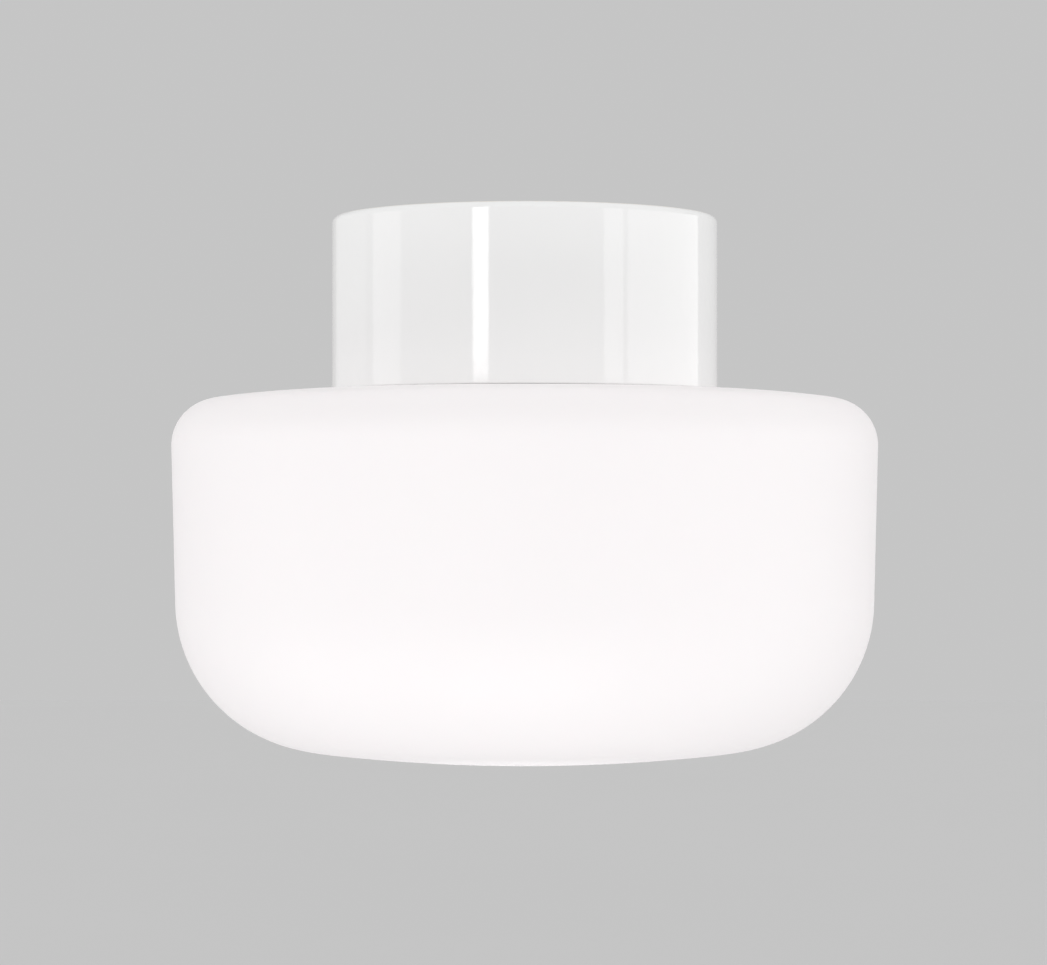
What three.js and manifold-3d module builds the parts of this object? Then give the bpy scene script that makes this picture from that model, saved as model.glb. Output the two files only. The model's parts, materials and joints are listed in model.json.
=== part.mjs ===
// Outdoor wall lamp: a glazed porcelain base, an opal glass shade that screws into it, and an E27 lampholder.
// Millimetres. The rear face is at z = 0 and the lamp hangs below it; on a wall, Z is level.
import * as THREE from 'three';
import { mergeVertices } from 'three/addons/utils/BufferGeometryUtils.js';
import Module from 'manifold-3d';

const wasm = await Module();
wasm.setup();

// Overall sizes; the radii are built up outwards, from the bulb's cap to the base's wall
const baseHeight = 49.3;
const shadeDiameter = 200;
const shadeDepth = 105;

// Clearances
const seatGap = 0.3;
const rimGap = 0.4;
const holeGap = 0.35;
const slipGap = 0.3;
const neckThreadGap = 0.55;
const capThreadGap = 0.4;
const cutOverrun = 1;
const weldDistance = 0.0001;

// Roundness of turned and swept pieces
const largeSides = 36;
const mediumSides = 20;
const capSides = 18;
const grommetSides = 16;
const smallSides = 10;
const threadRingsPerTurn = 5;
const capRingsPerTurn = 5;
const arcSteps = 5;
const edgeSteps = 3;

// Porcelain base
const rearEdgeRadius = 1.8;
const mouthEdgeRadius = 0.9;
const floorThickness = 8;
const collarLedge = 3.2;
const cavityFilletRadius = 3;
const collarHeight = 13;
const collarSlope = 4;
const recessSideGap = 0.8;
const mouthWall = 3.7;
const padDiameter = 14;
const padHeight = 3;

// Glass thread
const neckThreadDepth = 1.5;
const neckThreadPitch = 6;
const neckHeight = 15;
const neckWall = 3.75;
const neckFadeLength = 3;
const neckFilletRadius = 3;

// Shade outline
const glassThickness = 3.6;
const shoulderFlatMargin = 3.6;
const shoulderCrownRadius = 224;
const topCornerRadius = 13.2;
const sideTaper = THREE.MathUtils.degToRad(1.47);
const bottomCornerRadius = 42.4;
const bottomCrownRadius = 489;

// Soft rings and washers
const gasketThickness = 2.6;
const gasketWidth = 7.4;
const rearSealWidth = 4.4;
const rearSealDepth = 2;
const rearSealInset = 3.2;

// Fixing slots for the two wall screws
const fixingInset = 11;
const fixingSlotWidth = 5.5;
const fixingSlotLength = 9.5;
const fixingBossWall = 3.4;
const fixingBossHeight = 5;
const fixingSealThickness = 2;
const fixingSealLip = 0.3;

// Cable entries
const entryDiameter = 13;
const entryInset = 12.7;
const entryAngle = THREE.MathUtils.degToRad(138.65);
const grommetFlangeWidth = 2.2;
const grommetFlangeThickness = 1.6;
const grommetSkin = 1;
const grommetNippleDiameter = 5;
const grommetNippleHeight = 4;

// Mounting bridge and its fasteners
const bridgeEndGap = 7;
const bridgeWidth = 16;
const bridgeThickness = 1.5;
const bridgeEndMargin = 7;
const bridgeScrewDiameter = 4;
const bridgeHeadDiameter = 7;
const bridgeHeadHeight = 2.2;
const bridgeHeadDepth = 1.2;
const bridgeWasherThickness = 0.8;
const nutWidth = 7;
const nutHeight = 3.2;
const screwPointLength = 1;
const earthTabLength = 11;
const earthTabWidth = 10;
const earthTabInset = 1;

// Insulating sheet and lampholder
const sheetThickness = 0.8;
const holderWall = 5.9;
const holderMouthGap = 0.8;
const wiringSpace = 25.5;
const holderFloor = 6.4;
const earNutGap = 6;
const earWidth = 17;
const earThickness = 6.8;
const earEndMargin = 3.5;
const holderScrewDiameter = 3;
const holderHeadDiameter = 5.6;
const holderHeadHeight = 2;
const holderShellWall = 0.8;
const holderShellRecess = 0.6;
const holderShellOver = 1.7;
const tabWidth = 5;
const stripThickness = 0.5;
const rivetDiameter = 2.4;
const rivetHeadHeight = 0.6;
const rivetInset = 5.6;
const terminalWidth = 11;
const terminalScrewPlace = 2.2;
const terminalWirePlace = 3;
const terminalDepth = 5;
const terminalHeight = 5.2;
const terminalStripWidth = 4;
const terminalScrewDiameter = 2.6;
const terminalScrewHead = 4.6;
const terminalScrewHeadHeight = 1.6;
const terminalScrewLength = 3.6;

// Centre contact
const contactPivotPlace = 6;
const contactTipPlace = 3;
const contactDrop = 0.7;
const contactWidth = 5;

// Terminal block
const blockWallGap = 2.36;
const blockAngle = THREE.MathUtils.degToRad(-45);
const blockWidth = 27;
const blockDepth = 14;
const blockHeight = 13;
const polePitch = 8.5;
const clampSize = 5;
const clampLength = 11;
const clampBore = 3;
const clampScrewSpacing = 6;
const clampScrewDiameter = 2.4;
const clampScrewHead = 3;
const clampScrewHeadHeight = 2.2;
const clampScrewReach = 0.5;
const blockScrewDiameter = 3;
const blockHeadDiameter = 5.4;
const blockHeadHeight = 1.8;

// Shares of a screw's head and point
const headCrownShare = 1 / 3;
const slotDepthShare = 1 / 2;
const slotWidthShare = 1 / 6;
const pointShare = 1 / 4;

// Leads, with the angles round an upright axis that they pass
const leadDiameter = 2.2;
const liveAngle = -72;
const neutralAngles = [-33, -2, 30, 62, 86];
const earthAngles = [-120, -65, -15];
const leadSides = 8;
const leadSteps = 14;
const lugRim = 0.5;
const lugThickness = 0.8;
const lugBarrelDiameter = 3.4;
const lugBarrelLength = 6;
const lugAngle = THREE.MathUtils.degToRad(-45);
const earthScrewDiameter = 4;
const earthHeadDiameter = 7;
const earthHeadHeight = 2.2;

// LED bulb with an E27 cap
const bulbLength = 108;
const bulbDiameter = 60;
const bulbSeamRise = 14.5;
const bulbWall = 1.4;
const capThreadPitch = 3.629;
const capDiameter = 26.2;
const capThreadDepth = 1;
const capWall = 0.8;
const capThreadLength = 17.3;
const capSkirtLength = 3.5;
const contactDiameter = 9.2;
const contactHeight = 1.2;
const insulatorHeight = 4.5;
const insulatorTopDiameter = 15;
const insulatorChamfer = 1;
const insulatorPlugLength = 2;
const housingNeckLength = 8;
const housingNeckMargin = 0.3;
const ledBoardMargin = 4.26;
const ledBoardThickness = 1.5;
const ledChipSize = 3;
const ledChipHeight = 0.8;
const ledChipInset = 7;
const ledChipCount = 8;
const spreaderThickness = 1.5;
const housingLedge = 1.6;
const housingFlareShare = 1 / 3;
const driverSideGap = 1.1;
const driverBoardThickness = 1.6;
const driverPartHeight = 5;
const driverPartDiameter = 8;

// Levels, from the rear face down
const floorFace = -floorThickness;
const padFace = floorFace - padHeight;
const bridgeTop = padFace - seatGap;
const bridgeBottom = bridgeTop - bridgeThickness;
const sheetTop = bridgeBottom - seatGap;
const sheetBottom = sheetTop - sheetThickness;
const holderTop = sheetBottom - seatGap;
const socketFloor = holderTop - holderFloor;
const earBottom = holderTop - earThickness;
const stripTop = socketFloor - seatGap;
const stripBottom = stripTop - stripThickness;
const bulbTop = stripBottom - contactDrop - seatGap;
const bulbBottom = bulbTop - bulbLength;
const insulatorTop = bulbTop - contactHeight - seatGap;
const insulatorBottom = insulatorTop - insulatorHeight;
const capTop = insulatorBottom - seatGap;
const capThreadEnd = capTop - capThreadLength;
const capBottom = capThreadEnd - capSkirtLength;
const holderMouth = capThreadEnd + holderMouthGap;
const shellBottom = holderMouth + holderShellRecess;
const shellTop = capTop + holderShellOver;
const domeRadius = bulbDiameter / 2;
const domeCentre = bulbBottom + domeRadius;
const bulbSeam = domeCentre + bulbSeamRise;
const mouthFace = -baseHeight;
const shadeSeat = mouthFace - rimGap;
const gasketBottom = shadeSeat + seatGap;
const gasketTop = gasketBottom + gasketThickness;
const recessFace = gasketTop + rimGap;
const collarTop = recessFace + collarHeight;
const shadeBottom = shadeSeat - shadeDepth;

// Radii and places that several pieces share
const capCore = capDiameter / 2 - capThreadDepth;
const capBoreRadius = capCore - capWall;
const holderBoreRadius = capDiameter / 2 + capThreadGap + holderShellWall + slipGap;
const rivetPlace = holderBoreRadius - rivetInset;
const holderRadius = holderBoreRadius + holderWall;
const cavityRadius = holderRadius + wiringSpace;
const collarBore = cavityRadius - collarLedge;
const neckCore = collarBore - neckThreadGap - neckThreadDepth;
const neckBoreRadius = neckCore - neckWall;
const gasketOuter = collarBore + gasketWidth;
const recessRadius = gasketOuter + recessSideGap;
const baseRadius = recessRadius + mouthWall;
const bridgeLength = 2 * (cavityRadius - bridgeEndGap);
const bridgeScrewPlace = bridgeLength / 2 - bridgeEndMargin;
const earLength = 2 * (bridgeScrewPlace - earNutGap);
const holderScrewPlace = earLength / 2 - earEndMargin;
const fixingPlace = cavityRadius - fixingInset;
const entryReach = cavityRadius - entryInset;
const blockReach = cavityRadius - blockWallGap;
const blockPlace = Math.sqrt(blockReach ** 2 - (blockWidth / 2) ** 2) - blockDepth / 2;
const earthTabPlace = bridgeScrewPlace - earthTabInset;

// Solids

// Merges shared vertices, drops collapsed triangles and turns the faces outwards.
function outward(geometry) {
  geometry.deleteAttribute('normal');
  geometry.deleteAttribute('uv');
  const merged = mergeVertices(geometry, weldDistance);
  const place = merged.attributes.position;
  const index = merged.index.array;
  const corners = [0, 1, 2].map(() => new THREE.Vector3());
  const kept = [];
  let volume = 0;
  for (let i = 0; i < index.length; i += 3) {
    const [a, b, c] = [index[i], index[i + 1], index[i + 2]];
    if (a === b || b === c || c === a) continue;
    kept.push(a, b, c);
    [a, b, c].forEach((vertex, k) => corners[k].fromBufferAttribute(place, vertex));
    volume += corners[0].dot(corners[1].cross(corners[2]));
  }
  if (volume < 0) kept.reverse();
  merged.setIndex(kept);
  return merged;
}

function solid(geometry) {
  const closed = outward(geometry);
  const vertProperties = closed.attributes.position.array;
  const triVerts = new Uint32Array(closed.index.array);
  return new wasm.Manifold(new wasm.Mesh({ numProp: 3, vertProperties, triVerts }));
}

function geometryOf(shape) {
  const { vertProperties, triVerts } = shape.getMesh();
  const geometry = new THREE.BufferGeometry();
  geometry.setAttribute('position', new THREE.BufferAttribute(vertProperties, 3));
  geometry.setIndex(new THREE.BufferAttribute(triVerts, 1));
  return geometry;
}

// Points [radius, z] turned about Z; a profile off the axis closes on itself.
function turned(profile, sides) {
  const points = profile.map(([r, z]) => new THREE.Vector2(r, z));
  const onAxis = points[0].x === 0 && points[points.length - 1].x === 0;
  if (!onAxis) points.push(points[0].clone());
  return solid(new THREE.LatheGeometry(points, sides).rotateX(Math.PI / 2));
}

function rod(radius, bottom, top, sides) {
  return turned([[0, bottom], [radius, bottom], [radius, top], [0, top]], sides);
}

// A round cut that runs past both of its ends.
function bored(radius, bottom, top, sides = smallSides) {
  return rod(radius, bottom - cutOverrun, top + cutOverrun, sides);
}

function ring(inner, outer, bottom, top, sides) {
  return turned([[inner, bottom], [outer, bottom], [outer, top], [inner, top]], sides);
}

function block(lengthX, lengthY, bottom, top) {
  const geometry = new THREE.BoxGeometry(lengthX, lengthY, top - bottom);
  return solid(geometry.translate(0, 0, (top + bottom) / 2));
}

// A slot outline with round ends, its length along X.
function slotted(length, width, bottom, top) {
  const shape = new THREE.Shape();
  const run = (length - width) / 2;
  shape.absarc(run, 0, width / 2, -Math.PI / 2, Math.PI / 2);
  shape.absarc(-run, 0, width / 2, Math.PI / 2, Math.PI * 3 / 2);
  return extruded(shape, bottom, top);
}

function extruded(shape, bottom, top) {
  const options = { depth: top - bottom, bevelEnabled: false, curveSegments: edgeSteps };
  return solid(new THREE.ExtrudeGeometry(shape, options).translate(0, 0, bottom));
}

// A section drawn in X and Z, as wide as given along Y.
function sheetAcross(outline, width) {
  const shape = new THREE.Shape(outline.map(([x, z]) => new THREE.Vector2(x, z)));
  const options = { depth: width, bevelEnabled: false };
  const geometry = new THREE.ExtrudeGeometry(shape, options);
  return solid(geometry.rotateX(Math.PI / 2).translate(0, width / 2, 0));
}

function arc(centreR, centreZ, radius, from, to, steps = arcSteps) {
  const points = [];
  for (let i = 0; i <= steps; i += 1) {
    const angle = from + (to - from) * i / steps;
    points.push([centreR + radius * Math.cos(angle), centreZ + radius * Math.sin(angle)]);
  }
  return points;
}

// A right-hand rounded thread: the radius is core + depth (1 + cos(angle - turns)) / 2, faded at both ends.
function threadColumn({ core, depth, pitch, bottom, top, fade, sides, ringsPerTurn }) {
  const ringCount = Math.ceil((top - bottom) * ringsPerTurn / pitch);
  const positions = [0, 0, bottom];
  const index = [];
  const at = (level, side) => 1 + level * sides + (side % sides);
  for (let level = 0; level <= ringCount; level += 1) {
    const z = bottom + (top - bottom) * level / ringCount;
    const height = fade ? depth * Math.min(1, (z - bottom) / fade, (top - z) / fade) : depth;
    for (let side = 0; side < sides; side += 1) {
      const angle = 2 * Math.PI * side / sides;
      const radius = core + height * (1 + Math.cos(angle - 2 * Math.PI * z / pitch)) / 2;
      positions.push(radius * Math.cos(angle), radius * Math.sin(angle), z);
    }
  }
  const last = positions.length / 3;
  positions.push(0, 0, top);
  for (let side = 0; side < sides; side += 1) {
    index.push(0, at(0, side + 1), at(0, side));
    index.push(last, at(ringCount, side), at(ringCount, side + 1));
    for (let level = 0; level < ringCount; level += 1) {
      index.push(at(level, side), at(level, side + 1), at(level + 1, side));
      index.push(at(level + 1, side), at(level, side + 1), at(level + 1, side + 1));
    }
  }
  const geometry = new THREE.BufferGeometry();
  geometry.setAttribute('position', new THREE.Float32BufferAttribute(positions, 3));
  geometry.setIndex(index);
  return solid(geometry);
}

// A pan head screw whose head is at the lower end; the slot is cut across the head.
function screw({ diameter, head, headHeight, headTop, end }) {
  const headBottom = headTop - headHeight;
  const crown = headHeight * headCrownShare;
  const point = diameter * pointShare;
  const body = turned([
    [0, headBottom], [head / 2 - crown, headBottom], [head / 2, headBottom + crown], [head / 2, headTop],
    [diameter / 2, headTop], [diameter / 2, end - point], [diameter / 2 - point, end], [0, end],
  ], smallSides);
  const slotTop = headBottom + headHeight * slotDepthShare;
  return body.subtract(block(head + cutOverrun, head * slotWidthShare, headBottom - cutOverrun, slotTop));
}

// Materials
const finish = (color, roughness, metalness = 0) =>
  new THREE.MeshStandardMaterial({ color, roughness, metalness });
const porcelain = () => finish(0xecebe9, 0.12);
const opalGlass = () => finish(0xf8f6f7, 0.45);
const steel = () => finish(0xb9bcc0, 0.35, 1);
const brass = () => finish(0xc8a24a, 0.3, 1);
const nickel = () => finish(0xc9c7c1, 0.25, 1);
const softRubber = () => finish(0xdcdcda, 0.7);
const blackRubber = () => finish(0x232323, 0.75);
const fibre = () => finish(0x8a2f22, 0.8);
const whitePlastic = () => finish(0xf2f2f0, 0.35);

const lamp = new THREE.Group();

function add(name, shape, material, x = 0, y = 0, turn = 0) {
  const mesh = new THREE.Mesh(geometryOf(shape), material);
  mesh.name = name;
  mesh.position.set(x, y, 0);
  mesh.rotation.z = turn;
  lamp.add(mesh);
}

const bothSides = [-1, 1];
const bridgeScrewPlaces = bothSides.map((side) => side * bridgeScrewPlace);
const holderScrewPlaces = bothSides.map((side) => side * holderScrewPlace);
const fixingPlaces = bothSides.map((side) => side * fixingPlace);
const entryPlaces = bothSides.map((side) =>
  [entryReach * Math.cos(entryAngle), side * entryReach * Math.sin(entryAngle)]);
const blockCentre = [blockPlace * Math.cos(blockAngle), blockPlace * Math.sin(blockAngle)];
const upright = Math.PI / 2;

// Porcelain base

function baseOutside() {
  const rear = arc(baseRadius - rearEdgeRadius, -rearEdgeRadius, rearEdgeRadius, Math.PI / 2, 0, edgeSteps);
  const mouth = arc(baseRadius - mouthEdgeRadius, mouthFace + mouthEdgeRadius, mouthEdgeRadius,
    0, -Math.PI / 2, edgeSteps);
  return turned([[0, 0], ...rear, ...mouth, [0, mouthFace]], largeSides);
}

function baseInside() {
  const fillet = arc(cavityRadius - cavityFilletRadius, floorFace - cavityFilletRadius, cavityFilletRadius,
    Math.PI / 2, 0, edgeSteps);
  const cavity = turned([
    [0, floorFace], ...fillet, [cavityRadius, collarTop + collarSlope], [collarBore, collarTop],
    [0, collarTop],
  ], largeSides);
  const thread = threadColumn({
    core: neckCore + neckThreadGap, depth: neckThreadDepth, pitch: neckThreadPitch,
    bottom: recessFace - cutOverrun, top: collarTop + cutOverrun, fade: 0,
    sides: largeSides, ringsPerTurn: threadRingsPerTurn,
  });
  const recess = rod(recessRadius, mouthFace - cutOverrun, recessFace, largeSides);
  return cavity.add(thread).add(recess);
}

function rearSealGroove() {
  const middle = baseRadius - rearSealInset - rearSealWidth / 2;
  const half = rearSealWidth / 2 + slipGap;
  return ring(middle - half, middle + half, -rearSealDepth, cutOverrun, largeSides);
}

function fixingBosses() {
  const length = fixingSlotLength + 2 * fixingBossWall;
  const width = fixingSlotWidth + 2 * fixingBossWall;
  const boss = slotted(length, width, floorFace - fixingBossHeight, floorFace + cutOverrun);
  return fixingPlaces.map((place) => boss.rotate([0, 0, 90]).translate([0, place, 0]));
}

function fixingSlots() {
  const bottom = floorFace - fixingBossHeight - cutOverrun;
  const slot = slotted(fixingSlotLength, fixingSlotWidth, bottom, cutOverrun);
  return fixingPlaces.map((place) => slot.rotate([0, 0, 90]).translate([0, place, 0]));
}

function bridgePads() {
  const pad = rod(padDiameter / 2, padFace, floorFace + cutOverrun, mediumSides);
  return bridgeScrewPlaces.map((place) => pad.translate([place, 0, 0]));
}

// A shank hole from the rear, with a wider seat for the screw's head.
function rearScrewHole(shank, head, seat, bottom) {
  const hole = bored(shank / 2 + holeGap, bottom, 0);
  return hole.add(rod(head / 2 + holeGap, seat, cutOverrun, mediumSides));
}

function bridgeWasherSeat() {
  return -(bridgeHeadDepth + bridgeHeadHeight + bridgeWasherThickness + 2 * seatGap);
}

function blockHeadSeat() {
  return -(bridgeHeadDepth + blockHeadHeight + seatGap);
}

function baseShell() {
  let shell = baseOutside().subtract(baseInside());
  for (const addition of [...fixingBosses(), ...bridgePads()]) shell = shell.add(addition);
  const bridgeHole = rearScrewHole(bridgeScrewDiameter, bridgeHeadDiameter, bridgeWasherSeat(), padFace);
  const blockHole = rearScrewHole(blockScrewDiameter, blockHeadDiameter, blockHeadSeat(), floorFace);
  const entry = bored(entryDiameter / 2, floorFace, 0, mediumSides);
  const cuts = [
    rearSealGroove(), ...fixingSlots(), blockHole.translate([...blockCentre, 0]),
    ...bridgeScrewPlaces.map((place) => bridgeHole.translate([place, 0, 0])),
    ...entryPlaces.map((place) => entry.translate([...place, 0])),
  ];
  for (const cut of cuts) shell = shell.subtract(cut);
  return shell;
}

function rearSeal() {
  const outer = baseRadius - rearSealInset;
  return ring(outer - rearSealWidth, outer, -rearSealDepth + seatGap, 0, largeSides);
}

function fixingSeal() {
  const top = floorFace - fixingBossHeight - seatGap;
  const length = fixingSlotLength + 2 * fixingBossWall;
  const width = fixingSlotWidth + 2 * fixingBossWall;
  const plate = slotted(length, width, top - fixingSealThickness, top);
  const bore = slotted(fixingSlotLength - fixingSealLip, fixingSlotWidth - fixingSealLip,
    top - fixingSealThickness - cutOverrun, top + cutOverrun);
  return plate.subtract(bore);
}

// A closed membrane with a nipple that is cut open for the cable.
function cableGrommet() {
  const sleeve = entryDiameter / 2 - slipGap;
  const flange = entryDiameter / 2 + grommetFlangeWidth;
  const flangeTop = floorFace - seatGap;
  const flangeBottom = flangeTop - grommetFlangeThickness;
  const nipple = grommetNippleDiameter / 2;
  const nippleBottom = flangeBottom - grommetNippleHeight;
  return turned([
    [0, nippleBottom], [nipple / 2, nippleBottom], [nipple, flangeBottom], [flange, flangeBottom],
    [flange, flangeTop], [sleeve, flangeTop], [sleeve, -grommetSkin], [sleeve - grommetSkin, -grommetSkin],
    [sleeve - grommetSkin, flangeTop], [nipple - grommetSkin / 2, flangeTop],
    [nipple / 2 - grommetSkin / 2, nippleBottom + grommetSkin], [0, nippleBottom + grommetSkin],
  ], grommetSides);
}

// Steel bridge

function mountingBridge() {
  const strap = slotted(bridgeLength, bridgeWidth, bridgeBottom, bridgeTop);
  const tab = slotted(earthTabLength + earthTabWidth, earthTabWidth, bridgeBottom, bridgeTop);
  const tabMiddle = (bridgeWidth / 2 + earthTabLength) / 2;
  let bridge = strap.add(tab.rotate([0, 0, 90]).translate([earthTabPlace, tabMiddle, 0]));
  const hole = (diameter) => bored(diameter / 2 + holeGap, bridgeBottom, bridgeTop);
  for (const place of bridgeScrewPlaces) {
    bridge = bridge.subtract(hole(bridgeScrewDiameter).translate([place, 0, 0]));
  }
  for (const place of holderScrewPlaces) {
    bridge = bridge.subtract(hole(holderScrewDiameter).translate([place, 0, 0]));
  }
  return bridge.subtract(hole(earthScrewDiameter).translate([earthTabPlace, earthScrewPlace(), 0]));
}

function earthScrewPlace() {
  return bridgeWidth / 2 + earthTabLength - earthTabWidth / 2;
}

// The bridge screw comes from the rear, so it is the pan head screw turned over.
function bridgeScrew() {
  const length = bridgeHeadDepth + bridgeHeadHeight;
  const end = -(bridgeBottom - seatGap - nutHeight - screwPointLength);
  const standing = screw({
    diameter: bridgeScrewDiameter, head: bridgeHeadDiameter, headHeight: bridgeHeadHeight,
    headTop: length, end,
  });
  return standing.rotate([180, 0, 0]);
}

function bridgeWasher() {
  const top = -(bridgeHeadDepth + bridgeHeadHeight + seatGap);
  const bore = bridgeScrewDiameter / 2 + holeGap;
  return ring(bore, bridgeHeadDiameter / 2, top - bridgeWasherThickness, top, smallSides);
}

function bridgeNut() {
  const top = bridgeBottom - seatGap;
  const hex = new THREE.Shape();
  for (let corner = 0; corner < 6; corner += 1) {
    const angle = Math.PI * corner / 3;
    const reach = nutWidth / Math.sqrt(3);
    if (corner === 0) hex.moveTo(reach, 0);
    else hex.lineTo(reach * Math.cos(angle), reach * Math.sin(angle));
  }
  const bore = bored(bridgeScrewDiameter / 2 + holeGap, top - nutHeight, top);
  return extruded(hex, top - nutHeight, top).subtract(bore);
}

function blockScrew() {
  const end = -(cellTop + slipGap);
  const standing = screw({
    diameter: blockScrewDiameter, head: blockHeadDiameter, headHeight: blockHeadHeight,
    headTop: bridgeHeadDepth + blockHeadHeight, end,
  });
  return standing.rotate([180, 0, 0]);
}

// Lampholder

function insulatingSheet() {
  const sheet = slotted(earLength, earWidth, sheetBottom, sheetTop);
  const hole = bored(holderScrewDiameter / 2 + holeGap, sheetBottom, sheetTop);
  return holderScrewPlaces.reduce((shape, place) => shape.subtract(hole.translate([place, 0, 0])), sheet);
}

function terminalNotch(side) {
  const depth = holderRadius - terminalInner() + slipGap + cutOverrun;
  const notch = block(terminalWidth + 2 * slipGap, depth, holderTop - terminalHeight - 2 * slipGap,
    holderTop + cutOverrun);
  return notch.translate([0, side * (terminalInner() - slipGap + depth / 2), 0]);
}

function terminalInner() {
  return holderRadius - terminalScrewHeadHeight - terminalDepth;
}

// A slotted run from the rivet into the terminal, for the strip and its channel in the holder's rear face.
function stripRoute(width, bottom, top) {
  const from = new THREE.Vector2(rivetPlace, 0);
  const to = new THREE.Vector2(0, terminalInner() + terminalStripWidth / 2);
  const middle = from.clone().add(to).divideScalar(2);
  const length = from.distanceTo(to) + width;
  const angle = THREE.MathUtils.radToDeg(Math.atan2(to.y - from.y, to.x - from.x));
  return slotted(length, width, bottom, top).rotate([0, 0, angle]).translate([middle.x, middle.y, 0]);
}

function holderBody() {
  const barrel = rod(holderRadius, holderMouth, holderTop, mediumSides);
  const ears = slotted(earLength, earWidth, earBottom, holderTop);
  const socket = rod(holderBoreRadius, holderMouth - cutOverrun, socketFloor, mediumSides);
  const screwHole = bored(holderScrewDiameter / 2 + holeGap, earBottom, holderTop);
  const headRoom = rod(holderHeadDiameter / 2 + holeGap, holderMouth - cutOverrun, earBottom, mediumSides);
  const rivetHole = bored(rivetDiameter / 2 + slipGap / 2, socketFloor, holderTop);
  const channelFloor = holderTop - channelDepth();
  const channel = stripRoute(terminalStripWidth + 2 * slipGap, channelFloor, holderTop + cutOverrun);
  let body = barrel.add(ears).subtract(socket);
  for (const place of holderScrewPlaces) {
    body = body.subtract(screwHole.add(headRoom).translate([place, 0, 0]));
  }
  for (const turn of [0, 180]) {
    body = body.subtract(rivetHole.translate([rivetPlace, 0, 0]).add(channel).rotate([0, 0, turn]));
  }
  for (const side of bothSides) body = body.subtract(terminalNotch(side));
  return body;
}

function channelDepth() {
  return 2 * rivetHeadHeight + stripThickness + 2 * seatGap;
}

// The threaded shell, with a tab bent over the socket floor to its rivet.
function holderShell() {
  const core = capCore + capThreadGap;
  const outer = core + capThreadDepth + holderShellWall;
  const thread = threadColumn({
    core, depth: capThreadDepth, pitch: capThreadPitch, bottom: shellBottom - cutOverrun,
    top: shellTop + cutOverrun, fade: 0, sides: capSides, ringsPerTurn: capRingsPerTurn,
  });
  const tube = rod(outer, shellBottom, shellTop, capSides).subtract(thread);
  const wall = outer - core - capThreadDepth;
  const post = block(wall, tabWidth, shellTop - cutOverrun, stripTop);
  const foot = block(outer - rivetPlace + tabWidth / 2, tabWidth, stripBottom, stripTop);
  const bore = bored(rivetDiameter / 2 + slipGap / 2, stripBottom, stripTop);
  const inset = outer * (1 - Math.cos(tabWidth / 2 / outer));
  const footMiddle = (outer - inset + rivetPlace - tabWidth / 2) / 2;
  const tab = post.translate([outer - wall / 2 - inset, 0, 0]).add(
    foot.translate([footMiddle - inset / 2, 0, 0])).subtract(bore.translate([rivetPlace, 0, 0]));
  return tube.add(tab.subtract(thread));
}

function contactFoot() {
  const inner = contactPivotPlace + slipGap;
  const outer = rivetPlace + tabWidth / 2;
  const foot = block(outer - inner, contactWidth, stripBottom, stripTop)
    .translate([-(outer + inner) / 2, 0, 0]);
  const bore = bored(rivetDiameter / 2 + slipGap / 2, stripBottom, stripTop);
  return foot.subtract(bore.translate([-rivetPlace, 0, 0]));
}

// The springy end, bent down towards the bulb and flat under its contact.
function contactTongue() {
  const tipTop = stripTop - contactDrop;
  const bend = -contactTipPlace;
  return sheetAcross([
    [-contactPivotPlace, stripTop], [bend, tipTop], [contactTipPlace, tipTop],
    [contactTipPlace, tipTop - stripThickness], [bend, tipTop - stripThickness],
    [-contactPivotPlace, stripBottom],
  ], contactWidth);
}

// The rivet's formed ends hold the strip on one face and the contact on the other.
function holderRivet() {
  const shank = rivetDiameter / 2;
  const head = terminalStripWidth / 2;
  const front = stripBottom - slipGap;
  const rear = holderTop - channelDepth() + seatGap + stripThickness + slipGap;
  return turned([
    [0, front - rivetHeadHeight / 2], [head, front - rivetHeadHeight / 2], [head, front], [shank, front],
    [shank, rear], [head, rear], [head, rear + rivetHeadHeight / 2], [0, rear + rivetHeadHeight / 2],
  ], smallSides);
}

// A brass block for the wire and a strip to the rivet; drawn for the side towards +Y.
function holderTerminal() {
  const stripRear = holderTop - channelDepth() + seatGap + stripThickness;
  const middle = terminalInner() + terminalDepth / 2;
  const body = block(terminalWidth, terminalDepth, holderTop - terminalHeight, holderTop - slipGap)
    .translate([0, middle, 0]);
  const strip = stripRoute(terminalStripWidth, stripRear - stripThickness, stripRear);
  const rivetBore = bored(rivetDiameter / 2 + slipGap / 2, stripRear - stripThickness, stripRear);
  const length = terminalScrewLength + cutOverrun;
  const screwBore = rod(terminalScrewDiameter / 2 + slipGap / 2, 0, length, smallSides).rotate([90, 0, 0]);
  const outer = terminalInner() + terminalDepth + cutOverrun;
  return body.add(strip).subtract(rivetBore.translate([rivetPlace, 0, 0]))
    .subtract(screwBore.translate([terminalScrewPlace, outer, terminalMiddle()]));
}

function terminalMiddle() {
  return holderTop - (terminalHeight + slipGap) / 2;
}

function holderTerminalScrew() {
  const outer = terminalInner() + terminalDepth + seatGap;
  const standing = screw({
    diameter: terminalScrewDiameter, head: terminalScrewHead, headHeight: terminalScrewHeadHeight - seatGap,
    headTop: 0, end: terminalScrewLength,
  });
  return standing.rotate([90, 0, 0]).translate([terminalScrewPlace, outer, terminalMiddle()]);
}

function holderScrew() {
  return screw({
    diameter: holderScrewDiameter, head: holderHeadDiameter, headHeight: holderHeadHeight,
    headTop: earBottom - seatGap, end: bridgeTop,
  });
}

// Terminal block, drawn with its poles side by side along X and the leads along Y

const blockTop = floorFace - seatGap;
const blockBottom = blockTop - blockHeight;
const poleLevel = (blockTop + blockBottom) / 2;
const cellSize = clampSize + 2 * slipGap;
const cellTop = poleLevel + cellSize / 2;
const polePlacesShares = [-1, 0, 1];

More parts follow.
